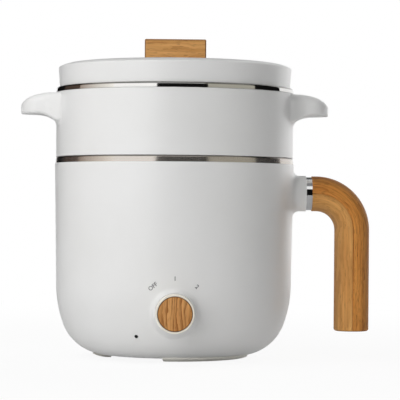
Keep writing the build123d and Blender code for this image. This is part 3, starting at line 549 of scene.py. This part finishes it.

# Painted shade on the edges: where it starts and where it is full, in metres from the edge,
# and how strong it is
RIM_START = 0.0007
RIM_FULL = 0.0003
RIM_SHADE = 0.8
BAR_END_START = 0.0014
BAR_END_FULL = 0.0004
BAR_EDGE_START = 0.0018
BAR_SHADE = 0.75
GRIP_END_START = 0.0011
GRIP_END_FULL = 0.0002
GRIP_END_SHADE = 0.75
GRIP_SIDE_START = 0.35 * GRIP_RADIUS
GRIP_SIDE_SHADE = 0.5


def straight_grain(tree, place, along, across):
    """Grain coordinates of a straight piece: across, depth and along, from two axis letters."""
    parts = axes(tree, place)
    depth = ({"X", "Y", "Z"} - {along, across}).pop()
    return made_of(tree, parts[across], parts[depth], parts[along])


def bent_grain(tree, place, bend_radius):
    """Grain coordinates that follow the grip: out along the arm, round the bend and down."""
    parts = axes(tree, place)
    out = reckon(tree, "SUBTRACT", parts["X"], GRIP_X - bend_radius)
    up = reckon(tree, "SUBTRACT", parts["Z"], ARM_Z - bend_radius)
    bend_out = reckon(tree, "MAXIMUM", out, 0.0)
    bend_up = reckon(tree, "MAXIMUM", up, 0.0)
    across = reckon(tree, "SUBTRACT", reach_of(tree, bend_out, bend_up), bend_radius)
    turn = reckon(tree, "MULTIPLY", reckon(tree, "ARCTAN2", bend_out, bend_up), bend_radius)
    straight = reckon(
        tree, "SUBTRACT", reckon(tree, "MINIMUM", out, 0.0), reckon(tree, "MINIMUM", up, 0.0)
    )
    return made_of(tree, across, parts["Y"], reckon(tree, "ADD", turn, straight))


def oak(name, colours, grain_of, ring_gap, ring_share, flecks, seed, painted_shade_of):
    """Oiled oak: broad tones, growth rings a few millimetres apart, fine fibres and short pores, and
    painted shade on the edges.
    """
    material, tree, shader, place = start_finish(name)
    grain = grain_of(tree, place)
    shifted = add_node(
        tree, "ShaderNodeVectorMath", {"operation": "ADD"}, {0: grain, 1: scaled(SEED_SHARES, seed)}
    ).outputs["Vector"]
    broad = noise(tree, stretched(tree, shifted, BROAD_TONES), distortion=0.4)
    tone = ramp(tree, broad, (0.36, colours["mid"]), (0.64, colours["light"]))
    patches = noise(tree, stretched(tree, shifted, RING_PATCHES), detail=1.0)
    strength = spread_between(
        tree, patches, start=0.35, end=0.62, low=FAINT_RINGS * ring_share, high=ring_share
    )
    rings = reckon(tree, "MULTIPLY", growth_rings(tree, shifted, ring_gap), strength)
    tone = mixed(tree, rings, tone, colours["dark"])
    fibres = noise(tree, stretched(tree, shifted, FINE_FIBRES))
    tone = multiplied(tree, tone, ramp(tree, fibres, (0.32, grey(FIBRE_SHADE)), (0.66, grey(1.0))))
    pores = noise(tree, stretched(tree, shifted, SHORT_PORES), detail=1.0)
    pore_tone = ramp(tree, pores, (0.62 - flecks, grey(1.0)), (0.72 - flecks, grey(PORE_SHADE)))
    tone = multiplied(tree, tone, pore_tone)
    # Painted shade on the edges, blended towards the edge tone
    tone = mixed(tree, painted_shade_of(tree, place, grain), tone, colours["edge"])
    surfaced(tree, shader, tone, spread(tree, fibres, low=0.48, high=0.62))
    shader.inputs["Specular IOR Level"].default_value = OAK_SPECULAR
    bumped(tree, shader, pore_tone, depth=0.00003)
    return material


def tinted(tones, tint):
    """Wood tones with each colour channel multiplied."""
    return {name: tuple(level * share for level, share in zip(tone, tint)) for name, tone in tones.items()}


def growth_rings(tree, grain, gap):
    """Lines that sway along the grain, darken slowly and end sharply, one for each gap on average."""
    slow = noise(tree, stretched(tree, grain, SLOW_SWAY), detail=1.0)
    quick = noise(tree, stretched(tree, grain, QUICK_SWAY))
    field = reckon(tree, "DIVIDE", axes(tree, grain)["X"], gap)
    field = reckon(tree, "ADD", field, reckon(tree, "MULTIPLY", slow, SLOW_SWAY_RINGS))
    field = reckon(tree, "ADD", field, reckon(tree, "MULTIPLY", quick, QUICK_SWAY_RINGS))
    within = reckon(tree, "FRACT", field)
    return spread_between(tree, within, start=0.35, end=0.95, low=0.0, high=1.0)


def disc_rim_shade(tree, place, grain):
    """Painted shade on the outer edge of the dial's disc, standing in for the shadow in the gap round it.
    """
    parts = axes(tree, place)
    radius = reach_of(tree, parts["X"], reckon(tree, "SUBTRACT", parts["Z"], DIAL_Z))
    return spread_between(
        tree, radius, DISC_RADIUS - RIM_START, DISC_RADIUS - RIM_FULL, low=0.0, high=RIM_SHADE
    )


def bar_edge_shade(tree, place, grain):
    """Painted shade on the lid bar's ends and along its upper and lower edges."""
    parts = axes(tree, place)
    half_length = (bar_high.x - bar_low.x) / 2
    half_height = (bar_high.z - bar_low.z) / 2
    middle = (bar_high.z + bar_low.z) / 2
    out = reckon(tree, "ABSOLUTE", parts["X"])
    ends = spread_between(
        tree, out, half_length - BAR_END_START, half_length - BAR_END_FULL, low=0.0, high=BAR_SHADE
    )
    up = reckon(tree, "ABSOLUTE", reckon(tree, "SUBTRACT", parts["Z"], middle))
    edges = spread_between(tree, up, half_height - BAR_EDGE_START, half_height, low=0.0, high=BAR_SHADE)
    return reckon(tree, "MAXIMUM", ends, edges)


def grip_edge_shade(tree, place, grain):
    """Painted shade round the grip's lower end, and along its inner and outer sides where the round grip
    turns from the light.
    """
    height = axes(tree, place)["Z"]
    start = grip_low.z + GRIP_END_START
    full = grip_low.z + GRIP_END_FULL
    end = spread_between(tree, height, start, full, low=0.0, high=GRIP_END_SHADE)
    out = reckon(tree, "ABSOLUTE", axes(tree, grain)["X"])
    sides = spread_between(tree, out, GRIP_SIDE_START, GRIP_RADIUS, low=0.0, high=GRIP_SIDE_SHADE)
    return reckon(tree, "MAXIMUM", end, sides)


# Mesh helpers

TOUCHING = 1e-6


def alone(obj):
    """Makes one object the only one selected, and active."""
    bpy.ops.object.select_all(action="DESELECT")
    obj.select_set(True)
    bpy.context.view_layer.objects.active = obj


def settle(obj):
    """Puts an object's place, turn and scale into its mesh."""
    alone(obj)
    bpy.ops.object.transform_apply(location=True, rotation=True, scale=True)


def apply_modifiers(obj):
    """Applies every modifier of an object."""
    alone(obj)
    for modifier in list(obj.modifiers):
        bpy.ops.object.modifier_apply(modifier=modifier.name)


def merge_doubles(obj):
    """Joins the points of a mesh that lie on each other."""
    alone(obj)
    bpy.ops.object.mode_set(mode="EDIT")
    bpy.ops.mesh.select_all(action="SELECT")
    bpy.ops.mesh.remove_doubles(threshold=TOUCHING)
    bpy.ops.object.mode_set(mode="OBJECT")


def combine(obj, other, operation):
    """Boolean of two objects, which uses up the second one."""
    boolean = obj.modifiers.new("boolean", "BOOLEAN")
    boolean.object = other
    boolean.operation = operation
    boolean.solver = "EXACT"
    apply_modifiers(obj)
    bpy.data.objects.remove(other)


def finish_piece(obj, name, body, material):
    """Names a new piece, gives it its material and lets it ride on a body."""
    obj.name = name
    obj.data.name = name
    obj.data.materials.clear()
    obj.data.materials.append(material)
    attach(obj, body)


class COOKER_OT_shells(bpy.types.Operator):
    """White moulded shells: body, steamer, lid, dial, base and feet"""

    bl_idname = "cooker.shells"
    bl_label = "White shells"

    def execute(self, context):
        colours = context.scene.cooker_colours
        white = moulded_plastic(
            "white_shell", light=tuple(colours.shell), shade=tuple(colours.shell_shade), gloss=0.30
        )
        dress(white, "body_shell", "steamer_shell", "lid_shell", "lid_inner_panel", "base_cover")
        cream = moulded_plastic(
            "dial_white", light=(0.95, 0.90, 0.80), shade=(0.92, 0.87, 0.76), gloss=0.34
        )
        dress(cream, "knob_cap")
        # Lighter, warmer copy of the white plastic for the feet: the extra lightness is painted light for
        # feet that sit in shade.
        painted_light_foot = moulded_plastic("foot_white_painted_light", light=(0.93, 0.91, 0.84), shade=(0.88, 0.86, 0.79), gloss=0.6)
        dress(painted_light_foot, *(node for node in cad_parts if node.startswith("foot_")))
        return {"FINISHED"}


class COOKER_OT_steel(bpy.types.Operator):
    """Steel pot, steamer liner, steam plate and grip collar"""

    bl_idname = "cooker.steel"
    bl_label = "Steel"

    def execute(self, context):
        brushed = turned_steel(
            "brushed_pot", tone=(0.67, 0.62, 0.57), gloss=0.23,
            line_depth=0.0000001, smear=0.95, node="inner_pot", gap_shade_depth=0.0012,
        )
        dress(brushed, "inner_pot")
        polished = turned_steel(
            "polished_liner", tone=tuple(context.scene.cooker_colours.steel), gloss=0.06,
            line_depth=0.0000002, smear=0.0, node="steamer_liner", gap_shade_depth=0.0019,
        )
        dress(polished, "steamer_liner", "steam_plate")
        dress(plain_metal("chrome_collar", tone=(0.82, 0.82, 0.82), gloss=0.05), "handle_ring")
        return {"FINISHED"}


class COOKER_OT_oak(bpy.types.Operator):
    """Oak grip halves, dial disc and lid bar"""

    bl_idname = "cooker.oak"
    bl_label = "Oak"

    def execute(self, context):
        colours = context.scene.cooker_colours
        bend_radius = context.scene.cooker_sizes.bend_radius
        tones = {
            "light": tuple(colours.oak_light),
            "mid": tuple(colours.oak_mid),
            "dark": tuple(colours.oak_dark),
            # The edge tone is painted shade
            "edge": PAINTED_EDGE_SHADE,
        }
        # The inner half takes a lighter copy of the oak and the outer half a redder, darker one: the redder
        # tone is the wood's own, and the lighter inner half and darker outer half are painted light and
        # painted shade.
        pale = tinted(tones, (1.14, 1.18, 1.06))
        redder_shaded = tinted(tones, (1.10, 0.93, 0.56))
        golden = tinted(tones, (1.05, 1.12, 1.14))

        def follow_grip(tree, place):
            return bent_grain(tree, place, bend_radius)

        def upright(tree, place):
            return straight_grain(tree, place, along="Z", across="X")

        def lengthwise(tree, place):
            return straight_grain(tree, place, along="X", across="Z")

        inner = oak(
            "oak_grip_inner", pale, follow_grip,
            ring_gap=0.0042, ring_share=0.35, flecks=-0.01, seed=3.1, painted_shade_of=grip_edge_shade,
        )
        dress(inner, "handle_inner_half")
        outer = oak(
            "oak_grip_outer", redder_shaded, follow_grip,
            ring_gap=0.0034, ring_share=0.50, flecks=0.04, seed=7.7, painted_shade_of=grip_edge_shade,
        )
        dress(outer, "handle_outer_half")
        dial = oak(
            "oak_dial", tones, upright,
            ring_gap=0.0029, ring_share=0.95, flecks=0.0, seed=4.3, painted_shade_of=disc_rim_shade,
        )
        dress(dial, "knob_disc")
        bar = oak(
            "oak_lid_bar", golden, lengthwise,
            ring_gap=0.0040, ring_share=0.50, flecks=0.0, seed=5.2, painted_shade_of=bar_edge_shade,
        )
        dress(bar, "lid_handle")
        return {"FINISHED"}


class COOKER_OT_seals(bpy.types.Operator):
    """Silicone seals of the pot and of the lid"""

    bl_idname = "cooker.seals"
    bl_label = "Seals"

    def execute(self, context):
        dress(soft_rubber("seal_silicone", (0.10, 0.10, 0.10)), "pot_seal", "lid_seal")
        return {"FINISHED"}


class COOKER_OT_electrics(bpy.types.Operator):
    """Heater, switch, indicator, inlet and wiring"""

    bl_idname = "cooker.electrics"
    bl_label = "Electrics"

    def execute(self, context):
        black = moulded_plastic(
            "black_moulding",
            light=(0.035, 0.035, 0.036),
            shade=(0.022, 0.022, 0.023),
            gloss=0.45,
            grain_depth=0.00003,
        )
        dress(black, "power_inlet", "rotary_switch")
        lens = moulded_plastic("dark_lens", light=grey(0.012), shade=grey(0.006), gloss=0.12)
        dress(lens, "indicator_lens")
        case = moulded_plastic(
            "thermostat_case", light=(0.09, 0.06, 0.045), shade=(0.06, 0.04, 0.03), gloss=0.5
        )
        dress(case, "thermostat")
        amber = moulded_plastic("amber_lamp", light=(0.8, 0.35, 0.1), shade=(0.7, 0.25, 0.06), gloss=0.15)
        dress(amber, "indicator_lamp")
        aluminium = plain_metal("cast_aluminium", tone=(0.62, 0.62, 0.63), gloss=0.42)
        dress(aluminium, "heating_plate", "heat_shield")
        zinc = plain_metal("zinc_plated", tone=(0.60, 0.60, 0.59), gloss=0.3)
        dress(zinc, "heating_element", "heater_terminals", "thermostat_clip", "thermostat_screws")
        dress(zinc, "support_posts", "handle_bolt", "lid_handle_screws")
        brass = plain_metal("brass_plain", tone=(0.72, 0.52, 0.24), gloss=0.28)
        dress(brass, "switch_terminals", "switch_nut", "switch_shaft", "inlet_pins", "handle_insert")
        sleeves = {
            "thermal_fuse": ("fuse_sleeve", (0.78, 0.75, 0.66)),
            "wire_live": ("brown_lead", (0.16, 0.075, 0.035)),
            "wire_neutral": ("blue_lead", (0.03, 0.10, 0.36)),
            "wire_heater": ("white_lead", (0.74, 0.73, 0.70)),
            "wire_earth": ("green_lead", (0.10, 0.36, 0.06)),
            "wire_lamp": ("black_lead", (0.03, 0.03, 0.03)),
        }
        for node, (name, tone) in sleeves.items():
            dress(soft_rubber(name, tone), node)
        return {"FINISHED"}


class COOKER_OT_marks(bpy.types.Operator):
    """Printed marks round the dial, laid on the curved body"""

    bl_idname = "cooker.marks"
    bl_label = "Dial marks"

    speck_gain = 1.2
    stand_off = 0.02
    film_share = 0.8

    def execute(self, context):
        sizes = context.scene.cooker_sizes
        ink, tree, shader, place = start_finish("grey_print")
        tone = tuple(context.scene.cooker_colours.mark)
        speck = noise(tree, place, scale=900.0, detail=3.0)
        surfaced(
            tree,
            shader,
            ramp(tree, speck, (0.35, tone), (0.7, scaled(tone, self.speck_gain))),
            spread(tree, speck, low=0.45, high=0.6),
        )
        marks = {"mark_off": ("OFF", -1), "mark_one": ("1", 0), "mark_two": ("2", 1)}
        for name, (words, step) in marks.items():
            self.print_mark(sizes, ink, name, words, step * sizes.mark_step)
        return {"FINISHED"}

    def print_mark(self, sizes, ink, name, words, angle):
        """One mark: flat lettering turned to its place, wrapped on the body and thickened to a film."""
        mark = self.lettering(sizes, words)
        heights = [vertex.co.y for vertex in mark.data.vertices]
        middle = (max(heights) + min(heights)) / 2
        scale = sizes.mark_height / (max(heights) - min(heights))
        mark.matrix_world = (
            Matrix.Translation((0, DIAL_FRONT - self.stand_off, DIAL_Z))
            @ Matrix.Rotation(angle, 4, "Y")
            @ Matrix.Translation((0, 0, sizes.mark_ring))
            @ Matrix.Rotation(math.pi / 2, 4, "X")
            @ Matrix.Scale(scale, 4)
            @ Matrix.Translation((0, -middle, 0))
        )
        settle(mark)
        merge_doubles(mark)
        wrap = mark.modifiers.new("wrap", "SHRINKWRAP")
        wrap.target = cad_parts["body_shell"]
        wrap.wrap_method = "PROJECT"
        wrap.use_project_y = True
        wrap.use_positive_direction = True
        wrap.use_negative_direction = False
        wrap.offset = sizes.mark_film
        apply_modifiers(mark)
        film = mark.modifiers.new("film", "SOLIDIFY")
        film.thickness = sizes.mark_film * self.film_share
        film.offset = -1.0
        apply_modifiers(mark)
        alone(mark)
        bpy.ops.object.mode_set(mode="EDIT")
        bpy.ops.mesh.select_all(action="SELECT")
        bpy.ops.mesh.normals_make_consistent(inside=False)
        bpy.ops.object.mode_set(mode="OBJECT")
        finish_piece(mark, name, "base", ink)

    def lettering(self, sizes, words):
        """Flat mesh of some words, centred on the origin."""
        bpy.ops.object.select_all(action="DESELECT")
        bpy.ops.object.text_add(location=(0, 0, 0))
        text = bpy.context.object.data
        text.body = words
        text.align_x = "CENTER"
        text.align_y = "CENTER"
        text.offset = sizes.mark_weight
        bpy.ops.object.convert(target="MESH")
        return bpy.context.object


class COOKER_OT_screws(bpy.types.Operator):
    """Screws of the base cover and of the inlet, with cross recesses"""

    bl_idname = "cooker.screws"
    bl_label = "Screws"

    base_turns = (0, 120, 240)
    first_turn = 0.4
    inlet_turn = 0.5
    sides = 40
    tip_share = 0.35
    head_round = 0.22
    head_steps = 3
    arm_shares = (1.1, 0.26, 0.7)
    arm_taper = 0.55
    level_enough = 0.99
    crease = math.radians(35)

    def execute(self, context):
        sizes = context.scene.cooker_sizes
        steel = plain_metal("screw_steel", tone=(0.58, 0.58, 0.57), gloss=0.27)
        length = base_screws_high.z - base_screws_low.z
        ring = base_screws_high.x - sizes.screw_head_radius
        places = []
        for index, degrees in enumerate(self.base_turns):
            turn = math.radians(degrees)
            spot = (ring * math.cos(turn), ring * math.sin(turn), base_screws_low.z)
            places.append(Matrix.Translation(spot) @ Matrix.Rotation(self.first_turn + index, 4, "Z"))
        self.screw_set("base_screw_set", sizes.screw_head_radius, length, places, steel, "base_screws")
        middle = (inlet_screws_low + inlet_screws_high) / 2
        half = (inlet_screws_high.x - inlet_screws_low.x) / 2 - sizes.inlet_head_radius
        length = inlet_screws_high.y - inlet_screws_low.y
        upright = Matrix.Rotation(math.pi / 2, 4, "X")
        places = []
        for side in (-1, 1):
            spot = (middle.x + side * half, inlet_screws_high.y, middle.z)
            placed = Matrix.Translation(spot) @ upright
            places.append(placed @ Matrix.Rotation(self.inlet_turn * side, 4, "Z"))
        self.screw_set("inlet_screw_set", sizes.inlet_head_radius, length, places, steel, "inlet_screws")
        return {"FINISHED"}

    def screw_set(self, name, head_radius, length, places, steel, node):
        """Copies of one screw, each with its own mesh, joined as one piece."""
        first = self.one_screw(head_radius, length)
        copies = []
        for spot in places:
            copy = first.copy()
            copy.data = first.data.copy()
            bpy.context.collection.objects.link(copy)
            copy.matrix_world = spot
            copies.append(copy)
        bpy.data.objects.remove(first)
        for copy in copies:
            settle(copy)
        bpy.ops.object.select_all(action="DESELECT")
        for copy in copies:
            copy.select_set(True)
        bpy.context.view_layer.objects.active = copies[0]
        bpy.ops.object.join()
        piece = bpy.context.object
        finish_piece(piece, name, "base", steel)
        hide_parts(node)

    def one_screw(self, head_radius, length):
        """A screw pointing up +Z with its head's outer face at the origin."""
        sizes = bpy.context.scene.cooker_sizes
        head_height = sizes.screw_head_height
        radius = sizes.screw_radius
        bpy.ops.object.select_all(action="DESELECT")
        bpy.ops.mesh.primitive_cylinder_add(
            vertices=self.sides, radius=head_radius, depth=head_height, location=(0, 0, head_height / 2)
        )
        screw = bpy.context.object
        settle(screw)
        self.pick_faces(screw, 1)
        bpy.ops.mesh.inset(thickness=head_radius - radius)
        shank = length - head_height - radius
        bpy.ops.mesh.extrude_region_move(TRANSFORM_OT_translate={"value": (0, 0, shank)})
        bpy.ops.mesh.extrude_region_move(TRANSFORM_OT_translate={"value": (0, 0, radius)})
        bpy.ops.transform.resize(value=(self.tip_share, self.tip_share, 1), center_override=(0, 0, 0))
        bpy.ops.object.mode_set(mode="OBJECT")
        self.pick_faces(screw, -1)
        bpy.ops.mesh.bevel(offset=head_radius * self.head_round, segments=self.head_steps)
        bpy.ops.object.mode_set(mode="OBJECT")
        combine(screw, self.cross_cutter(head_radius), "DIFFERENCE")
        alone(screw)
        bpy.ops.object.shade_smooth_by_angle(angle=self.crease)
        return screw

    def cross_cutter(self, head_radius):
        """Tapered cross that sinks the recess of a screw's head."""
        arms = []
        for turn in (0.0, math.pi / 2):
            bpy.ops.object.select_all(action="DESELECT")
            bpy.ops.mesh.primitive_cube_add(size=1, location=(0, 0, 0), rotation=(0, 0, turn))
            arm = bpy.context.object
            arm.scale = [head_radius * share for share in self.arm_shares]
            settle(arm)
            self.pick_faces(arm, 1)
            bpy.ops.transform.resize(value=(self.arm_taper, self.arm_taper, 1), center_override=(0, 0, 0))
            bpy.ops.object.mode_set(mode="OBJECT")
            arms.append(arm)
        combine(arms[0], arms[1], "UNION")
        return arms[0]

    def pick_faces(self, obj, direction):
        """Opens edit mode with only the end face selected that looks up or down."""
        alone(obj)
        bpy.ops.object.mode_set(mode="EDIT")
        bpy.ops.mesh.select_mode(type="FACE")
        bpy.ops.mesh.select_all(action="DESELECT")
        bpy.ops.object.mode_set(mode="OBJECT")
        ends = [face for face in obj.data.polygons if face.normal.z * direction > self.level_enough]
        outer = max(face.center.z * direction for face in ends)
        for face in ends:
            face.select = abs(face.center.z * direction - outer) < TOUCHING
        bpy.ops.object.mode_set(mode="EDIT")


class COOKER_OT_lug_blends(bpy.types.Operator):
    """Blends where the steamer's two lugs run into its wall"""

    bl_idname = "cooker.lug_blends"
    bl_label = "Lug blends"

    smoothing = 0.5
    passes = 140

    def execute(self, context):
        white = bpy.data.materials["white_shell"]
        for name, side in (("lug_blend_left", -1), ("lug_blend_right", 1)):
            blend = self.lug_root(side)
            self.soften(blend)
            finish_piece(blend, name, "steamer", white)
        return {"FINISHED"}

    def lug_root(self, side):
        """Copy of the shell, cut down to the root of one lug and the wall round it."""
        sizes = bpy.context.scene.cooker_sizes
        low, high = box_of("steamer_shell")
        wall = -low.y
        root = bpy.data.objects.new("lug_root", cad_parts["steamer_shell"].data.copy())
        bpy.context.collection.objects.link(root)
        merge_doubles(root)
        bpy.ops.object.select_all(action="DESELECT")
        bpy.ops.mesh.primitive_cube_add(size=1, location=(side * wall, 0, high.z - sizes.blend_height / 2))
        keep = bpy.context.object
        keep.scale = (2 * sizes.blend_reach, sizes.blend_width, sizes.blend_height)
        settle(keep)
        combine(root, keep, "INTERSECT")
        return root

    def soften(self, blend):
        """Evens out the mesh and smooths it, so that only the filled crease stands proud of the shell."""
        sizes = bpy.context.scene.cooker_sizes
        even = blend.modifiers.new("even", "REMESH")
        even.mode = "VOXEL"
        even.voxel_size = sizes.blend_voxel
        smooth = blend.modifiers.new("smooth", "SMOOTH")
        smooth.factor = self.smoothing
        smooth.iterations = self.passes
        sink = blend.modifiers.new("sink", "DISPLACE")
        sink.mid_level = 0.0
        sink.strength = -sizes.blend_sink
        apply_modifiers(blend)
        alone(blend)
        bpy.ops.object.shade_smooth()


class COOKER_OT_stage(bpy.types.Operator):
    """Floor, lights, dark cards for the metal, and the camera"""

    bl_idname = "cooker.stage"
    bl_label = "Stage"

    aim_height = 0.12
    floor_size = 12
    floor_drop = 0.0002
    shadow_start = 0.15
    shadow_end = 0.9
    shadow_white = 0.91
    card_low = 0.005
    level_card_width = 2.4
    sensor_width = 36.0
    far_clip = 50.0

    def execute(self, context):
        scene = context.scene
        stage = scene.cooker_stage
        scene.view_settings.view_transform = "Standard"
        self.floor(scene)
        self.world(scene, stage.fill)
        self.lights(stage)
        self.cards()
        self.camera(scene, stage)
        return {"FINISHED"}

    def lights(self, stage):
        """Large key light on the left, edge light behind on the right, and one high on the left."""
        self.soft_light(
            "key", azimuth=-32, elevation=10, distance=1.7, size=(1.3, 1.6), power=stage.key_power
        )
        self.soft_light(
            "back_edge", azimuth=139, elevation=6, distance=1.5, size=(0.9, 0.9), power=stage.edge_power
        )
        self.soft_light(
            "top", azimuth=-60, elevation=62, distance=1.5, size=(1.3, 1.3), power=stage.top_power
        )

    def cards(self):
        """What the steel bands and the collar reflect."""
        black = (grey(0.006), grey(0.006))
        bright = (grey(1.2), grey(1.2))
        cream = ((0.43, 0.42, 0.36), (0.43, 0.42, 0.36))
        brown = ((0.06, 0.042, 0.033), (0.095, 0.065, 0.05))
        beige = ((0.40, 0.32, 0.27), (1.18, 1.16, 1.10))
        self.card("front_card", azimuth=6.2, span=47, distance=0.63, high=0.5, tones=black)
        self.card("softbox_card", azimuth=-40, span=48, distance=2.3, high=2.2, tones=bright)
        self.card("right_card", azimuth=101.5, span=38, distance=2.0, high=2.2, tones=black)
        self.card("right_cream_card", azimuth=57, span=56, distance=2.1, high=2.2, tones=cream)
        self.card("left_card", azimuth=-148, span=28, distance=2.0, high=2.2, tones=black)
        self.card("left_brown_card", azimuth=-120, span=30, distance=2.1, high=2.2, tones=brown)
        self.card("left_beige_card", azimuth=-84, span=44, distance=2.2, high=2.2, tones=beige)
        self.card("back_card", azimuth=180, span=22, distance=2.0, high=2.6, tones=black)
        self.level_card("ceiling_card", front=-1.2, back=1.2, height=1.8, tones=(grey(0.26), grey(0.26)))
        self.level_card("table_card", front=-0.62, back=1.5, height=0.0004, tones=(grey(0.46), grey(0.16)))

    def floor(self, scene):
        """Pale floor that reads as white to the camera and keeps a soft shadow."""
        bpy.ops.object.select_all(action="DESELECT")
        bpy.ops.mesh.primitive_plane_add(size=self.floor_size, location=(0, 0, -self.floor_drop))
        floor = bpy.context.object
        floor.name = "floor"
        material = bpy.data.materials.new("white_floor")
        material.use_nodes = True
        tree = material.node_tree
        tree.nodes.clear()
        tone = (*scene.cooker_colours.floor, 1.0)
        matte = add_node(tree, "ShaderNodeBsdfDiffuse", inputs={"Color": tone}).outputs[0]
        glow = add_node(tree, "ShaderNodeEmission", inputs={"Color": WHITE, "Strength": 1.0}).outputs[0]
        place = add_node(tree, "ShaderNodeTexCoord").outputs["Object"]
        reach = add_node(tree, "ShaderNodeVectorMath", {"operation": "LENGTH"}, {0: place}).outputs["Value"]
        white_share = spread_between(
            tree, reach, self.shadow_start, self.shadow_end, low=self.shadow_white, high=1.0
        )
        share = reckon(tree, "MULTIPLY", seen_directly(tree), white_share)
        blend = add_node(tree, "ShaderNodeMixShader", inputs={0: share, 1: matte, 2: glow})
        add_node(tree, "ShaderNodeOutputMaterial", inputs={"Surface": blend.outputs[0]})
        floor.data.materials.append(material)

    def world(self, scene, fill):
        """White to the camera and in reflections, and a plain fill for the rest."""
        world = bpy.data.worlds.new("studio")
        scene.world = world
        world.use_nodes = True
        tree = world.node_tree
        tree.nodes.clear()
        dim = add_node(tree, "ShaderNodeBackground", inputs={"Color": WHITE, "Strength": fill}).outputs[0]
        white = add_node(tree, "ShaderNodeBackground", inputs={"Color": WHITE, "Strength": 1.0}).outputs[0]
        blend = add_node(tree, "ShaderNodeMixShader", inputs={0: seen_directly(tree), 1: dim, 2: white})
        add_node(tree, "ShaderNodeOutputWorld", inputs={"Surface": blend.outputs[0]})

    def spot(self, azimuth, elevation, distance):
        """Point round the object: azimuth 0 is on the camera's side, and positive is to the right."""
        turn = math.radians(azimuth)
        rise = math.radians(elevation)
        return Vector(
            (
                distance * math.cos(rise) * math.sin(turn),
                -distance * math.cos(rise) * math.cos(turn),
                distance * math.sin(rise) + self.aim_height,
            )
        )

    def soft_light(self, name, azimuth, elevation, distance, size, power):
        """Softbox of a width and a height that faces the object and isn't seen in reflections."""
        bpy.ops.object.select_all(action="DESELECT")
        place = self.spot(azimuth, elevation, distance)
        bpy.ops.object.light_add(type="AREA", location=place)
        light = bpy.context.object
        light.name = name
        light.data.shape = "RECTANGLE"
        light.data.size, light.data.size_y = size
        light.data.energy = power
        facing = Vector((0, 0, self.aim_height)) - place
        light.rotation_euler = facing.to_track_quat("-Z", "Y").to_euler()
        light.visible_glossy = False

    def card(self, name, azimuth, span, distance, high, tones):
        """Upright card from just above the floor to a height, with a tone at each side edge."""
        bpy.ops.object.select_all(action="DESELECT")
        bpy.ops.mesh.primitive_plane_add(size=1)
        card = bpy.context.object
        width = 2 * distance * math.tan(math.radians(span / 2))
        place = self.spot(azimuth, 0, distance)
        place.z = (self.card_low + high) / 2
        card.location = place
        card.rotation_euler = Euler((math.pi / 2, 0, math.radians(azimuth)))
        card.scale = (width, high - self.card_low, 1)
        self.finish_card(card, name, tones, "X")

    def level_card(self, name, front, back, height, tones):
        """Level card above or below the object, with a tone at its front edge and one at its back."""
        bpy.ops.object.select_all(action="DESELECT")
        bpy.ops.mesh.primitive_plane_add(size=1, location=(0, (front + back) / 2, height))
        card = bpy.context.object
        card.scale = (self.level_card_width, back - front, 1)
        self.finish_card(card, name, tones, "Y")

    def finish_card(self, card, name, tones, across):
        """Plain glow that runs from one tone to another, hidden from all but reflections."""
        card.name = name
        settle(card)
        material = bpy.data.materials.new(name)
        material.use_nodes = True
        tree = material.node_tree
        tree.nodes.clear()
        sheet = add_node(tree, "ShaderNodeTexCoord").outputs["UV"]
        tone = ramp(tree, axes(tree, sheet)[across], (0.0, tones[0]), (1.0, tones[1]))
        glow = add_node(tree, "ShaderNodeEmission", inputs={"Color": tone, "Strength": 1.0})
        add_node(tree, "ShaderNodeOutputMaterial", inputs={"Surface": glow.outputs[0]})
        card.data.materials.append(material)
        card.visible_camera = False
        card.visible_diffuse = False
        card.visible_shadow = False
        card.visible_transmission = False
        card.visible_volume_scatter = False

    def camera(self, scene, stage):
        """Long lens at the photograph's height and distance."""
        bpy.ops.object.select_all(action="DESELECT")
        bpy.ops.object.camera_add(location=stage.eye)
        camera = bpy.context.object
        camera.name = "front_camera"
        sight = (Vector(stage.aim) - Vector(stage.eye)).to_track_quat("-Z", "Y").to_matrix().to_4x4()
        camera.matrix_world = Matrix.Translation(stage.eye) @ sight @ Matrix.Rotation(stage.roll, 4, "Z")
        camera.data.sensor_width = self.sensor_width
        camera.data.lens = stage.lens
        camera.data.clip_end = self.far_clip
        scene.camera = camera


class COOKER_PT_panel(bpy.types.Panel):
    """Sizes, colours and the steps that dress the cooker"""

    bl_idname = "COOKER_PT_panel"
    bl_label = "Multicooker"
    bl_space_type = "VIEW_3D"
    bl_region_type = "UI"
    bl_category = "Cooker"

    def draw(self, context):
        layout = self.layout
        for group in (context.scene.cooker_sizes, context.scene.cooker_colours, context.scene.cooker_stage):
            column = layout.column(align=True)
            for name in group.__annotations__:
                column.prop(group, name)
        for step in STEPS:
            layout.operator(step.bl_idname)


GROUPS = {
    "cooker_sizes": CookerSizes,
    "cooker_colours": CookerColours,
    "cooker_stage": CookerStage,
}
STEPS = (
    COOKER_OT_shells,
    COOKER_OT_steel,
    COOKER_OT_oak,
    COOKER_OT_seals,
    COOKER_OT_electrics,
    COOKER_OT_marks,
    COOKER_OT_screws,
    COOKER_OT_lug_blends,
    COOKER_OT_stage,
)


def register():
    for name, group in GROUPS.items():
        bpy.utils.register_class(group)
        setattr(bpy.types.Scene, name, bpy.props.PointerProperty(type=group))
    for step in STEPS:
        bpy.utils.register_class(step)
    bpy.utils.register_class(COOKER_PT_panel)


def unregister():
    bpy.utils.unregister_class(COOKER_PT_panel)
    for step in reversed(STEPS):
        bpy.utils.unregister_class(step)
    for name, group in reversed(GROUPS.items()):
        delattr(bpy.types.Scene, name)
        bpy.utils.unregister_class(group)


def main():
    register()
    for step in STEPS:
        family, name = step.bl_idname.split(".")
        getattr(getattr(bpy.ops, family), name)()


if __name__ == "__main__":
    main()
